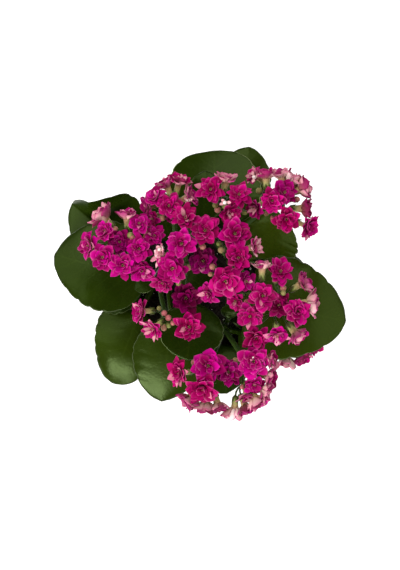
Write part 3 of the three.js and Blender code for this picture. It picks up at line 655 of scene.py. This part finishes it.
def add_curl(petals, tip):
    """A pale petal that has curled into a ball, with three small ones. Its white is partly painted
    highlight.
    """
    petals.kind = (0.5, 1.0, 0.0, 1)
    path = []
    for height, _ in CURL:
        path.append(tip + UP * height + np.array([rng.uniform(-0.25, 0.25), rng.uniform(-0.25, 0.25), 0]))
    add_tube(petals, path, [radius for _, radius in CURL], TUBE_SIDES, (0.5, 0, 1, 0), 0.08)
    petals.kind = (0.5, 0.8, 0.5, 1)
    for i in range(3):
        angle = TURN * i / 3 + rng.uniform(-0.5, 0.5)
        out = level(angle)
        end = math.radians(rng.uniform(30, 70))
        root = tip - UP * CURL_RISE + out * 0.9
        add_petal(petals, root, out, UP, *CURL_PETAL, math.radians(80), end, 0)


# Blooms and buds

class Bloom:
    """Where a bloom is and how it looks. One that leans far is a funnel, whose petals point ahead."""

    def __init__(self, head, x, y, toward, lean, lower, size, pale=FEW_PALE):
        self.eye = on_dome(head, x, y, lower)
        self.axis = turned(UP, level(math.radians(toward)), math.radians(lean))
        self.side, self.across = square_to(self.axis)
        self.foot = self.eye - self.axis * BLOOM_DEPTH
        self.size = size
        self.leans = lean > FUNNEL_LEAN
        self.funnel = min(1, max(0, (lean - FUNNEL_LEAN) / (FULL_FUNNEL_LEAN - FUNNEL_LEAN)))
        self.crimson = head.crimson + head.deeper * self.funnel
        self.pale = pale
        # Painted shade: the lower a bloom hangs, the darker its petals are coloured
        self.bright = max(LEAST_BRIGHT, 1 - PAINTED_SHADE_PER_MM * lower)

    def out(self, angle):
        """The direction at an angle round the bloom's axis."""
        return turned(self.side, self.across, angle)

    def pale_chance(self, layer):
        """How likely a petal is pale. The outer two layers of an open bloom seldom are."""
        if self.leans:
            return 1.25 * self.pale
        return self.pale * (0.08 if layer < 2 else 0.5)


def add_petals(petals, bloom):
    """A bloom's layers of petals: more, narrower and steeper ones the more ruffled it is."""
    funnel = bloom.funnel
    radius = BLOOM_RADIUS * bloom.size
    scatter = 1 + 0.35 * funnel
    spin = rng.uniform(0, TURN)
    ruffled = rng.random()
    pointed = (0.2 + 0.55 * rng.random()) * (1 - funnel)
    droop = rng.uniform(*DROOP)
    hue = min(1, max(0, ruffled + rng.uniform(-HUE_SCATTER, HUE_SCATTER) + bloom.crimson))
    for layer, (count, share, (flat, raised, steep), broad, height) in enumerate(LAYERS):
        share += 0.3 * funnel * (LAYERS[0][1] - share)
        count = max(3, round(count * (0.6 + 0.4 * bloom.size) * (0.95 + 0.35 * ruffled)))
        open_tip = flat + (raised - flat) * ruffled + droop
        tip = open_tip + (steep - open_tip) * funnel
        start = math.radians((64 + 5 * layer) * (1 - funnel) + (24 + 8 * layer) * funnel)
        throat = (1.5 - 0.2 * layer + funnel * (1.1 - 0.15 * layer)) * bloom.size
        floor = bloom.eye + bloom.axis * (height - 2.2 - 0.8 * funnel) * bloom.size
        long = radius * share * (0.98 - 0.1 * funnel + 0.1 * ruffled)
        wide = radius * share * broad * (1.08 - 0.25 * ruffled * (1 - funnel))
        for i in range(count):
            spacing = i + rng.uniform(-ANGLE_SCATTER, ANGLE_SCATTER)
            out = bloom.out(spin + layer * LAYER_TURN + TURN * spacing / count)
            length = long * (0.98 + scatter * rng.uniform(-LENGTH_SCATTER, LENGTH_SCATTER))
            width = wide * rng.uniform(*WIDTH_SCATTER)
            end = math.radians(tip + scatter * rng.uniform(-TIP_SCATTER, TIP_SCATTER))
            # Pale petals: partly paler petal backs, partly painted highlight
            pale_and_highlight = 0
            if rng.random() < bloom.pale_chance(layer):
                pale_and_highlight = rng.uniform(0.55, 1) * min(1, 0.45 + 0.75 * bloom.pale)
                width *= 0.62 + 0.28 * funnel
                end += math.radians(18) * (1 - funnel)
            petals.kind = (hue, pale_and_highlight, rng.random(), bloom.bright)
            add_petal(petals, floor + out * throat, out, bloom.axis, length, width, start, end, pointed)


def add_stamens(greens, bloom):
    """The stamens that show between the innermost petals."""
    for i in range(STAMENS):
        out = bloom.out(TURN * i / STAMENS + rng.uniform(-0.3, 0.3))
        foot = bloom.eye + out * 0.35 * bloom.size - bloom.axis * 1.5
        tip = bloom.eye + out * 0.9 * bloom.size + bloom.axis * rng.uniform(1.6, 2.6) * bloom.size
        path = [foot, (foot + tip) / 2, tip - bloom.axis * 0.3, tip + bloom.axis * 0.25]
        tones = [(0.5, 0, 0.3, 0), (0.55, 0, 0.3, 0), (0.62, 0, 0.9, 0), (0.62, 0, 0.9, 0)]
        add_tube(greens, path, STAMEN_RADII, STAMEN_SIDES, tones)


def add_tube_and_calyx(greens, bloom, hub):
    """The corolla's tube, green below and pink where it widens, its four sepals and its pedicel."""
    shade = rng.random()
    foot = bloom.foot
    axis = bloom.axis
    girth = 0.72 + 0.28 * bloom.size
    path = [foot + axis * height for height, _, _, _ in TUBE]
    radii = [(slim + (stout - slim) * bloom.funnel) * girth for _, slim, stout, _ in TUBE]
    add_tube(greens, path, radii, TUBE_SIDES, [(along, 0, shade, 0) for _, _, _, along in TUBE])
    for i in range(4):
        out = bloom.out(math.pi / 4 + TURN * i / 4 + shade)
        half = SEPAL_HALF * girth
        add_sepal(greens, foot - axis * 0.2 + out * half, out, axis, SEPAL_LENGTH * girth, half, shade)
    reach = foot - hub
    bend = foot - axis * 0.45 * np.linalg.norm(reach)
    stalk = bezier_path([hub - unit(reach) * 0.5, (hub + bend) / 2, bend, foot + axis * 0.5], 6)
    widths = np.linspace(PEDICEL_RADIUS * 1.05, PEDICEL_RADIUS * 0.95, 6)
    add_tube(greens, stalk, widths, PEDICEL_SIDES, (0.06, 0, shade, 0))


def add_sepal(greens, root, out, axis, length, half, shade):
    """A pointed fleshy sepal that hugs its tube or bud. half is half its width."""
    side = np.cross(axis, out)
    centre = np.array(root, float)
    rows = []
    for degrees, width in SEPAL:
        angle = math.radians(degrees)
        lift = 0.42 * half * SEPAL_ACROSS**2 * width
        depth = 0.24 * (1 - np.abs(SEPAL_ACROSS))
        up = turned(axis, -out, angle)
        rows.append((centre, side, up, SEPAL_ACROSS * half * width, lift, depth, (0.13, shade)))
        centre = centre + turned(out, axis, angle) * length / 4
    add_blade(greens, rows, SEPAL_ACROSS)


def add_bud(greens, tip, hub, number):
    """A closed bud on its pedicel, with four sepals."""
    axis = unit(tip - hub)
    side, across = square_to(axis)
    r = BUD_RADIUS * (0.88 + 0.14 * math.sin(number * 1.7))
    shade = rng.random()
    length = BUD_LENGTH * r
    foot = tip - axis * length
    bow = side * rng.uniform(-1, 1) + across * rng.uniform(-1, 1)
    stalk = bezier_path([hub, (hub + foot) / 2 + bow, foot], 5)
    add_tube(greens, stalk, PEDICEL_RADIUS, PEDICEL_SIDES, (0.06, 0, shade, 0))
    path = [foot + axis * length * share for share, _, _ in BUD]
    tones = [(along, 0.5, shade, 0) for _, _, along in BUD]
    add_tube(greens, path, [girth * r for _, girth, _ in BUD], TUBE_SIDES, tones)
    for i in range(4):
        out = turned(side, across, TURN * i / 4 + shade)
        add_sepal(greens, foot + axis * 0.1 + out * 0.45 * r, out, axis, 2.1 * r, 0.62 * r, shade)


# Flower heads

def fork_of(head):
    """Where a head's peduncle ends and forks."""
    return place(*head.fork, head.top - head.depth)


def on_dome(head, x, y, lower):
    """Where a bloom or bud of a head is: so many millimetres below the head's dome."""
    away = np.linalg.norm(place(x, y, BLOOM_LEVEL) - place(*head.fork, BLOOM_LEVEL))
    return place(x, y, head.top - DOME * away * away - lower)


def add_branch(greens, knot, hub):
    """A branch of a head, with two small bracts where its pedicels spread."""
    branch = unit(hub - knot)
    path = [knot + (hub - knot) * s for s in (0, 0.33, 0.66, 0.92)] + [hub + branch * 0.8]
    widths = [BRANCH_RADIUS * k for k in (1.15, 1, 1, 1.2, 1.3)]
    add_tube(greens, path, widths, BRANCH_SIDES, (0.04, 0, 0.5, 0))
    side = square_to(branch)[0]
    for out in (-side, side):
        add_sepal(greens, hub + out * 0.8, out, unit(branch + out * 0.8), BRACT_LENGTH, BRACT_HALF, 0.4)


def flower_head(name, head):
    """A head's petals, and its branches, tubes, calyces and buds, as two pieces."""
    petals = Shape()
    greens = Shape()
    fork = fork_of(head) + UP * CLEARANCE
    knot = fork + UP * KNOT_RISE
    path = [fork + UP * rise for rise, _ in KNOT]
    add_tube(greens, path, [radius for _, radius in KNOT], TUBE_SIDES, (0.05, 0, 0.5, 0))
    hubs = []
    for cyme in head.cymes:
        blooms = [Bloom(head, *spec) for spec in cyme]
        hub = knot + (sum(bloom.foot for bloom in blooms) / len(blooms) - knot) * HUB_SHARE
        hubs.append(hub)
        add_branch(greens, knot, hub)
        for bloom in blooms:
            add_petals(petals, bloom)
            add_stamens(greens, bloom)
            add_tube_and_calyx(greens, bloom, hub)
    for x, y in head.curled:
        add_curl(petals, on_dome(head, x, y, -CURL_RISE))
    for number, (x, y) in enumerate(head.buds, sum(len(cyme) for cyme in head.cymes)):
        tip = on_dome(head, x, y, BUD_DROP)
        add_bud(greens, tip, min(hubs, key=lambda hub: np.linalg.norm(hub - tip)), number)
    make_piece(f"petals_{name}", petals, "bloom", f"head_{name}")
    make_piece(f"stalks_{name}", greens, "stem", f"head_{name}")


# Stems

def peduncle_path(head):
    """A peduncle leaves its stem, spreads out and ends upright under its head."""
    start = place(*STEMS[head.stem].at, head.leaves_at)
    end = fork_of(head)
    reach = (end - start) * (1, 1, 0)
    left = unit(np.cross(UP, reach)) * head.bow
    rise = end[2] - start[2]
    lower = start + reach * 0.4 + left + UP * 0.3 * rise
    upper = start + reach * 0.85 + left * 0.5 + UP * 0.66 * rise
    return [start, lower, upper, end]


def stem_radius(stem, z):
    share = (z - STEM_FOOT) / (stem.top - STEM_FOOT)
    return STEM_RADIUS + (STEM_TOP_RADIUS - STEM_RADIUS) * share


def stem_piece(name, stem):
    """A stem with a swelling at each leaf, woodier towards its foot, and its peduncles."""
    greens = Shape()
    nodes = [leaf.height for leaf in LEAVES.values() if leaf.stem == name]
    heights = np.linspace(STEM_FOOT, stem.top, STEM_ROWS)
    widths = []
    for z in heights:
        swelling = max(math.exp(-(((z - node) / SWELLING_REACH) ** 2)) for node in nodes)
        widths.append(stem_radius(stem, z) * (0.97 + SWELLING * swelling))
    tones = [(0.03, 0, 0.5, min(1, max(0, (stem.top - z) / WOODY_DEPTH))) for z in heights]
    add_tube(greens, [place(*stem.at, z) for z in heights], widths, STEM_SIDES, tones, 0.012)
    for head in HEADS.values():
        if head.stem == name:
            stalk = smooth_path(peduncle_path(head), PEDUNCLE_ROWS)
            radii = np.linspace(PEDUNCLE_RADIUS + 0.4, PEDUNCLE_RADIUS, PEDUNCLE_ROWS)
            add_tube(greens, stalk, radii, TUBE_SIDES, (0.025, 0, 0.5, 0), 0.01)
    make_piece(f"stalk_{name}", greens, "stem", f"stem_{name}")


# Leaves

def blade_shape(t, leaf):
    """How wide a leaf's blade is at t from base to tip, as a share of its full width."""
    bend = math.log(0.5) / math.log(leaf.peak)
    return math.sin(math.pi * min(1, 0.04 + 0.96 * t) ** bend) ** leaf.blunt


def scallop(t, phase):
    """The blunt teeth of the margin, as a share of the blade's width."""
    notch = (1 - abs(math.sin(math.pi * (SCALLOPS * t + phase)))) ** 2
    return 1.012 - SCALLOP_DEPTH * notch * min(1, 3 * t)


def petiole_sections(leaf, base, along):
    """The sections of a leaf's stalk, from the skin of its stem to its blade."""
    stem = STEMS[leaf.stem]
    start = place(*stem.at, leaf.height)
    outward = unit((base - start) * (1, 1, 0))
    start = start + outward * (stem_radius(stem, leaf.height) + CLEARANCE)
    reach = np.linalg.norm(base - start)
    handles = [start, start + outward * 0.3 * reach, base - along * 0.12 - UP * 2, base]
    sections = []
    for i in range(PETIOLE_ROWS):
        t = i / PETIOLE_ROWS
        ahead = unit(bezier(handles, t + 0.02) - bezier(handles, t)) if i else outward
        half = PETIOLE_RADIUS * (1.05 - 0.1 * t)
        sections.append((bezier(handles, t), ahead, (half, half), PETIOLE_RADIUS, 0, 0, 0))
    return sections


def blade_sections(leaf, base, along, phase):
    """The sections of a leaf's blade. Like those of its stalk, each is its centre, direction ahead,
    half widths to the left and right, half thickness, how far the margins turn up, the angle of the
    fold, and its place along the blade."""
    arch = 4 * leaf.arch
    sections = []
    for i in range(BLADE_ROWS):
        t = (i / (BLADE_ROWS - 1)) ** 0.9 * 0.9985
        share = blade_shape(t, leaf)
        least = PETIOLE_RADIUS if t < 0.3 else 0.2
        teeth = (scallop(t, phase), scallop(t, phase + 0.4))
        halves = [max(least, half * share * tooth) for half, tooth in zip(leaf.halves, teeth)]
        thick = PETIOLE_RADIUS + (LEAF_THICKNESS / 2 - PETIOLE_RADIUS) * min(1, 4 * t)
        fold = math.radians(leaf.fold) * smoothstep(t, 0.42, 0.78)
        centre = base + along * t + UP * arch * t * (1 - t)
        ahead = unit(along + UP * arch * (1 - 2 * t))
        sections.append((centre, ahead, halves, thick, leaf.cup * share**2, fold, t))
    return sections


def leaf_piece(name, leaf):
    """A leaf and its stalk: a thick blade with wavy scalloped margins and a sunk midrib."""
    base = place(*leaf.base)
    along = place(*leaf.tip) - base
    sections = petiole_sections(leaf, base, along) + blade_sections(leaf, base, along, rng.random())
    wave = rng.uniform(0, TURN)
    shade = rng.random()
    u = LEAF_ACROSS
    rows = []
    for centre, ahead, halves, thick, bowl, fold, t in sections:
        side = -unit(np.cross(UP, ahead))
        up = unit(np.cross(side, ahead))
        out = u * np.where(u < 0, *halves)
        turn = np.where(u > 0, fold, 0)
        ripple = RIPPLE * np.sin(9 * t + wave + 2 * np.sign(u)) * np.abs(u) ** 3 * min(1, 4 * t)
        rib = -RIB_DEPTH * np.exp(-((u / 0.1) ** 2)) * min(1, 5 * t) * (1 - t)
        lift = out * np.sin(turn) + bowl * u * u + (ripple + rib) * sum(leaf.halves) / 60
        depth = thick * np.sqrt(np.clip(1 - u**4, 0, 1)) * (0.62 + 0.38 * (1 - np.abs(u)))
        rows.append((centre, side, up, out * np.cos(turn), lift, depth, (t, shade)))
    blade = Shape()
    blade.kind = (leaf.light, leaf.rim, 0, 1)
    add_blade(blade, rows, u)
    make_piece(f"blade_{name}", blade, "leaf", f"leaf_{name}")


# Pot and soil

def pot_radius(z):
    """The pot's outer radius at height z, without its collar."""
    return FOOT_RADIUS + (RIM_RADIUS - COLLAR_STEP - FOOT_RADIUS) * z / POT_HEIGHT


def pot_profile():
    """The pot's outline as (radius, height), from under its foot over its rim to its floor inside."""
    collar = POT_HEIGHT - COLLAR_HEIGHT
    neck = pot_radius(collar)
    inner = pot_radius(POT_HEIGHT) - POT_WALL
    corner = pot_radius(FLOOR_THICKNESS) - POT_WALL
    foot = [(FOOT_RADIUS - 1.4, 0), (FOOT_RADIUS - 0.5, 0.25)]
    wall = [(pot_radius(z), z) for z in (1, 2, 30, 55, collar - 1)]
    step = [(neck + out, collar + up) for out, up in STEP_ROUNDING]
    rim = [(RIM_RADIUS + out, POT_HEIGHT - down) for out, down in RIM_ROUNDING]
    lip = [(inner + out, POT_HEIGHT - down) for out, down in LIP_ROUNDING]
    inside = [(pot_radius(60) - POT_WALL, 60)]
    floor = [(corner, FLOOR_THICKNESS + 0.6), (corner - 0.8, FLOOR_THICKNESS)]
    return foot + wall + step + rim + lip + inside + floor


def pot_piece():
    """The moulded pot, with its drain holes cut through the floor."""
    wall = Shape()
    rings = [ring(radius, height, POT_SIDES) for radius, height in pot_profile()]
    add_turned_body(wall, rings, 0, FLOOR_THICKNESS, (0, 0, 0, 0))
    piece = make_piece("pot_shell", wall, "pot", "pot")
    holes = Shape()
    for i in range(DRAIN_HOLES):
        centre = DRAIN_CIRCLE * level(TURN * i / DRAIN_HOLES)
        add_tube(holes, [centre - UP * 5, centre + UP * 8], DRAIN_RADIUS, DRAIN_SIDES, (0, 0, 0, 0))
    cutter = add_object("holes", make_mesh("holes", holes))
    cut = piece.modifiers.new("holes", "BOOLEAN")
    cut.operation = "DIFFERENCE"
    cut.solver = "EXACT"
    cut.object = cutter
    apply_modifiers(piece)
    bpy.data.objects.remove(cutter)
    sharpen(piece)


def apply_modifiers(piece):
    """Puts the result of a piece's modifiers in its mesh."""
    graph = bpy.context.evaluated_depsgraph_get()
    made = bpy.data.meshes.new_from_object(piece.evaluated_get(graph))
    piece.modifiers.clear()
    piece.data = made


def sharpen(piece):
    """Marks the edges that bend more than SHARP_ANGLE degrees as sharp."""
    edit = bmesh.new()
    edit.from_mesh(piece.data)
    for edge in edit.edges:
        edge.smooth = not (edge.is_manifold and edge.calc_face_angle() > math.radians(SHARP_ANGLE))
    edit.to_mesh(piece.data)
    edit.free()


def soil_height(r, angle):
    """The height of the heaped, uneven soil at a radius and angle."""
    crumbs = math.sin(r * 0.9 + 3 * angle) + math.sin(r * 0.53 - 5 * angle + 1)
    return SOIL_LEVEL + SOIL_HEAP * (1 - (r / RIM_RADIUS) ** 2) + SOIL_RELIEF * crumbs


def soil_bed():
    """The soil's body: it fills the pot, and its top is rough."""
    bottom = FLOOR_THICKNESS + CLEARANCE
    rings = []
    for z in (bottom, SOIL_LEVEL / 2, SOIL_LEVEL - 4, SOIL_LEVEL - 1.6):
        rings.append(ring(pot_radius(z) - POT_WALL - 2 * CLEARANCE, z, SOIL_SIDES))
    for r in (52.5, 51, 49, *np.linspace(47, 1.5, 30)):
        angles = np.arange(SOIL_SIDES) * TURN / SOIL_SIDES
        heights = [soil_height(r, a) + rng.uniform(-SOIL_SCATTER, SOIL_SCATTER) for a in angles]
        rings.append(ring(r, heights, SOIL_SIDES))
    bed = Shape()
    add_turned_body(bed, rings, bottom, soil_height(0, 0), (0, 0, 0.5, 0))
    make_piece("soil_bed", bed, "soil", "soil")


def soil_crumbs():
    """The crumbs of peat, bark and perlite on the soil."""
    crumbs = Shape()
    for _ in range(CRUMBS):
        r = CRUMB_REACH * math.sqrt(rng.random())
        angle = rng.uniform(0, TURN)
        size = rng.uniform(*CRUMB_SIZE)
        stuff = rng.random()
        centre = r * level(angle) + UP * (soil_height(r, angle) + 0.2 * size)
        add_crumb(crumbs, centre, size, stuff)
    make_piece("soil_crumbs", crumbs, "soil", "soil")


def add_crumb(shape, centre, size, stuff):
    """A box with its corners pushed about. The few crumbs with the highest stuff are perlite."""
    stretch = np.array([rng.uniform(0.7, 1.8), rng.uniform(0.7, 1.2), rng.uniform(0.5, 0.9)])
    turn = rng.uniform(0, TURN)
    spin = np.array([[math.cos(turn), -math.sin(turn), 0], [math.sin(turn), math.cos(turn), 0], [0, 0, 1]])
    corners = []
    for sign in itertools.product((-1, 1), repeat=3):
        corner = np.array(sign) * stretch * size * 0.5
        corners.append(centre + spin @ (corner * rng.uniform(0.6, 1.15)))
    faces = [(0, 1, 3, 2), (4, 6, 7, 5), (0, 4, 5, 1), (2, 3, 7, 6), (0, 2, 6, 4), (1, 5, 7, 3)]
    shape.add(corners, (0, 0, stuff, 1 if stuff > PERLITE_FROM else 0), faces)


# Materials

class Material:
    """A procedural material. Most methods add a node, whose inputs are numbers, colours or the outputs
    of other nodes, and return its output."""

    def __init__(self, name, specular=0.5):
        self.made = bpy.data.materials.new(name)
        self.made.use_nodes = True
        self.tree = self.made.node_tree
        self.shader = self.tree.nodes["Principled BSDF"]
        self.give("Specular IOR Level", specular)

    def put(self, socket, value):
        """Gives a socket a number, a colour or the output of another node."""
        if isinstance(value, (int, float)):
            socket.default_value = value
        elif isinstance(value, tuple):
            socket.default_value = (*value, 1)
        else:
            self.tree.links.new(value, socket)

    def give(self, name, value):
        """Gives the shader's socket of this name a value."""
        self.put(self.shader.inputs[name], value)

    def node(self, kind, inputs, **settings):
        """Adds a node with these settings and these values in its inputs, by name or number."""
        node = self.tree.nodes.new("ShaderNode" + kind)
        for key, value in settings.items():
            setattr(node, key, value)
        for key, value in inputs.items():
            self.put(node.inputs[key], value)
        return node

    def channels(self, name):
        """The four numbers that each point of a shape carries as its tone or its kind."""
        attribute = self.node("Attribute", {}, attribute_name=name)
        split = self.node("SeparateColor", {"Color": attribute.outputs["Color"]})
        return (*(split.outputs[key] for key in ("Red", "Green", "Blue")), attribute.outputs["Alpha"])

    def ramp(self, value, stops):
        """A colour that follows a value through stops of (value, colour or grey level)."""
        node = self.node("ValToRGB", {"Fac": value})
        elements = node.color_ramp.elements
        elements.remove(elements[0])
        for i, (position, colour) in enumerate(stops):
            stop = elements.new(position) if i else elements[0]
            stop.position = position
            stop.color = (*colour, 1) if isinstance(colour, tuple) else (colour, colour, colour, 1)
        return node.outputs["Color"]

    def mix(self, share, a, b, blend="MIX"):
        inputs = {0: share, 6: a, 7: b}
        return self.node("Mix", inputs, data_type="RGBA", blend_type=blend).outputs[2]

    def dim(self, colour, by):
        """A colour multiplied by another."""
        return self.mix(1.0, colour, by, "MULTIPLY")

    def maths(self, operation, a, b=0.0, clamp=False):
        return self.node("Math", {0: a, 1: b}, operation=operation, use_clamp=clamp).outputs[0]

    def times(self, a, b):
        return self.maths("MULTIPLY", a, b)

    def noise(self, scale, detail, rough=0.5):
        """Noise in the object's own space, with patches of about a metre over scale."""
        space = self.node("TexCoord", {}).outputs["Object"]
        inputs = {"Vector": space, "Scale": scale, "Detail": detail, "Roughness": rough}
        return self.node("TexNoise", inputs).outputs["Fac"]

    def finish(self, colour, roughness, height, strength, distance):
        """Gives the surface its colour, its roughness and its bumps, and returns the material."""
        bump = self.node("Bump", {"Height": height, "Strength": strength, "Distance": distance})
        self.give("Base Color", colour)
        self.give("Roughness", roughness)
        self.give("Normal", bump.outputs["Normal"])
        return self.made


def make_petal_material():
    """Magenta petals: darker towards the root, which is painted shade deep in the throat, lighter along
    the margins, partly a paler rim and partly painted highlight, and pale pink behind. Blooms that
    hang lower are darker, as painted shade.
    """
    m = Material("petal", 0.03)
    along, across, random_share, under = m.channels("tone")
    hue, pale, edge, bright = m.channels("kind")
    # The ramps darken each petal towards its root: painted shade deep in the throat
    top = m.mix(hue, m.ramp(along, PURPLE_PETAL), m.ramp(along, CRIMSON_PETAL))
    top = m.mix(m.times(m.noise(900, 2), 0.2), top, PETAL_VEINS)
    # A lighter margin along each petal's sides and tip: partly a paler rim, partly painted highlight
    margin = m.maths("MAXIMUM", m.maths("POWER", across, 7), m.maths("POWER", along, 22))
    rim = m.times(margin, m.maths("POWER", edge, 1.7))
    top = m.mix(m.times(rim, 0.8), top, PETAL_MARGIN_AND_HIGHLIGHT)
    back = m.mix(hue, m.ramp(along, BACK_OF_PETAL), m.ramp(along, DEEP_BACK_OF_PETAL))
    colour = m.dim(m.mix(under, top, back), m.ramp(random_share, PETAL_SHADES))
    # Painted shade: petals of blooms that hang lower are coloured darker
    colour = m.dim(colour, bright)
    # Pale petals turn cream and white: partly paler petal backs, partly painted highlight
    white = m.mix(m.maths("POWER", pale, 8), m.ramp(along, PALE_PETAL), WHITE_PETAL_AND_HIGHLIGHT)
    white = m.mix(m.times(m.maths("POWER", across, 3), 0.7), white, PALE_PETAL_MARGIN)
    return m.finish(m.mix(pale, colour, white), 0.5, m.noise(1400, 2), 0.25, 0.0002)


def make_stalk_material():
    """Green stalks and calyces, tubes that turn yellow and pink, buds with pink or tan tips."""
    m = Material("stalk", 0.12)
    along, across, random_share, old = m.channels("tone")
    on_bud = m.times(m.maths("GREATER_THAN", across, 0.3), m.maths("GREATER_THAN", along, 0.45))
    colour = m.mix(on_bud, m.ramp(along, STALK), m.ramp(random_share, BUD_TIPS))
    colour = m.mix(old, colour, OLD_STEM)
    patches = m.ramp(m.noise(260, 3), [(0.25, (0.65, 0.65, 0.6)), (0.75, 1.0)])
    return m.finish(m.dim(colour, patches), 0.45, m.noise(1200, 3), 0.2, 0.0003)


def make_leaf_material():
    """Fleshy dark green leaves with a waxy sheen, faint veins and a thin pale margin. Some are a
    lighter green, partly painted sheen.
    """
    m = Material("leaf", 0.16)
    m.give("Specular Tint", (0.7, 1.0, 0.35))
    along, across, _, under = m.channels("tone")
    light, pale_rim, _, _ = m.channels("kind")
    # light lifts a leaf's green: partly a lighter leaf, partly painted sheen
    green = m.mix(light, m.ramp(m.noise(38, 4), LEAF_GREENS), LIGHTER_LEAF_AND_SHEEN)
    slant = m.maths("SUBTRACT", along, m.times(across, 0.3))
    wave = m.maths("SINE", m.times(slant, 44))
    vein = m.maths("POWER", m.maths("MAXIMUM", wave, 0.0), 18)
    fade = m.maths("SUBTRACT", 1.0, across, True)
    green = m.mix(m.times(m.times(vein, fade), 0.07), green, LEAF_VEINS)
    middle = m.maths("SUBTRACT", 1.0, m.times(across, 22), True)
    green = m.mix(m.times(middle, 0.08), green, LEAF_VEINS)
    rim = m.maths("GREATER_THAN", across, 0.982)
    green = m.mix(m.times(rim, pale_rim), green, LEAF_MARGIN)
    green = m.mix(under, green, m.mix(0.6, green, BACK_OF_LEAF))
    roughness = m.ramp(m.noise(90, 3), [(0.3, 0.2), (0.7, 0.3)])
    return m.finish(green, roughness, m.maths("ADD", m.times(vein, -0.15), m.noise(420, 3)), 0.2, 0.0004)


def make_soil_material():
    """Dark moist peat with brown bark and grains of white perlite."""
    m = Material("soil")
    _, _, random_share, perlite = m.channels("tone")
    crumb = m.noise(420, 5, 0.7)
    colour = m.dim(m.ramp(crumb, PEAT), m.ramp(random_share, BARK))
    return m.finish(m.mix(perlite, colour, PERLITE), 0.95, crumb, 0.9, 0.0012)


def make_pot_material():
    """Matt terracotta-coloured plastic, a little uneven and scuffed."""
    m = Material("pot")
    scuffs = m.times(m.maths("GREATER_THAN", m.noise(700, 4, 0.7), 0.68), 0.25)
    colour = m.mix(scuffs, m.ramp(m.noise(22, 4), TERRACOTTA), SCUFF)
    roughness = m.ramp(m.noise(120, 3), [(0.3, 0.48), (0.7, 0.64)])
    return m.finish(colour, roughness, m.noise(1500, 3), 0.15, 0.0003)


# Floor, light and camera

def make_floor():
    """A plain pale floor that glows a little, so that it stays white round the plant."""
    mesh = bpy.data.meshes.new("floor")
    corners = [(x * FLOOR_REACH, y * FLOOR_REACH, 0) for x, y in ((-1, -1), (1, -1), (1, 1), (-1, 1))]
    mesh.from_pydata(corners, [], [(0, 1, 2, 3)])
    m = Material("floor", 0.1)
    m.give("Base Color", (0.85, 0.85, 0.85))
    m.give("Roughness", 0.9)
    m.give("Emission Color", (1, 1, 1))
    m.give("Emission Strength", 0.4)
    mesh.materials.append(m.made)
    floor = add_object("floor", mesh)


def make_light():
    """Soft white light from all round, and four large lamps."""
    world = bpy.data.worlds.new("studio")
    world.use_nodes = True
    background = world.node_tree.nodes["Background"]
    background.inputs["Color"].default_value = (1, 1, 1, 1)
    background.inputs["Strength"].default_value = WORLD_STRENGTH
    bpy.context.scene.world = world
    for name, (position, size, power) in LAMPS.items():
        light = bpy.data.lights.new(name, "AREA")
        light.shape = "RECTANGLE"
        light.size, light.size_y = size
        light.energy = power
        lamp = add_object(name, light)
        lamp.location = position
        lamp.rotation_euler = to_euler(np.array(LAMP_AIM) - np.array(position))


def to_euler(aim):
    """The rotation that turns a lamp's view along aim."""
    x, y, z = unit(aim)
    return math.acos(-z), 0, math.atan2(x, -y) + math.pi


def add_camera():
    """Straight above the pot, as far off as the photograph's mapping says."""
    data = bpy.data.cameras.new("camera")
    data.sensor_fit = "VERTICAL"
    data.sensor_height = 24
    data.lens = data.sensor_height * (EYE_HEIGHT - BLOOM_LEVEL) / (PIXEL * PHOTO_HEIGHT)
    camera = add_object("camera", data)
    camera.location = (0, 0, EYE_HEIGHT * MM)
    bpy.context.scene.camera = camera


bpy.context.scene.view_settings.view_transform = "Standard"
materials = {
    "bloom": make_petal_material(),
    "stem": make_stalk_material(),
    "leaf": make_leaf_material(),
    "soil": make_soil_material(),
    "pot": make_pot_material(),
}
for head_name, head in HEADS.items():
    flower_head(head_name, head)
for stem_name, stem in STEMS.items():
    stem_piece(stem_name, stem)
for leaf_name, leaf in LEAVES.items():
    leaf_piece(leaf_name, leaf)
pot_piece()
soil_bed()
soil_crumbs()
make_floor()
make_light()
add_camera()
bpy.context.view_layer.update()
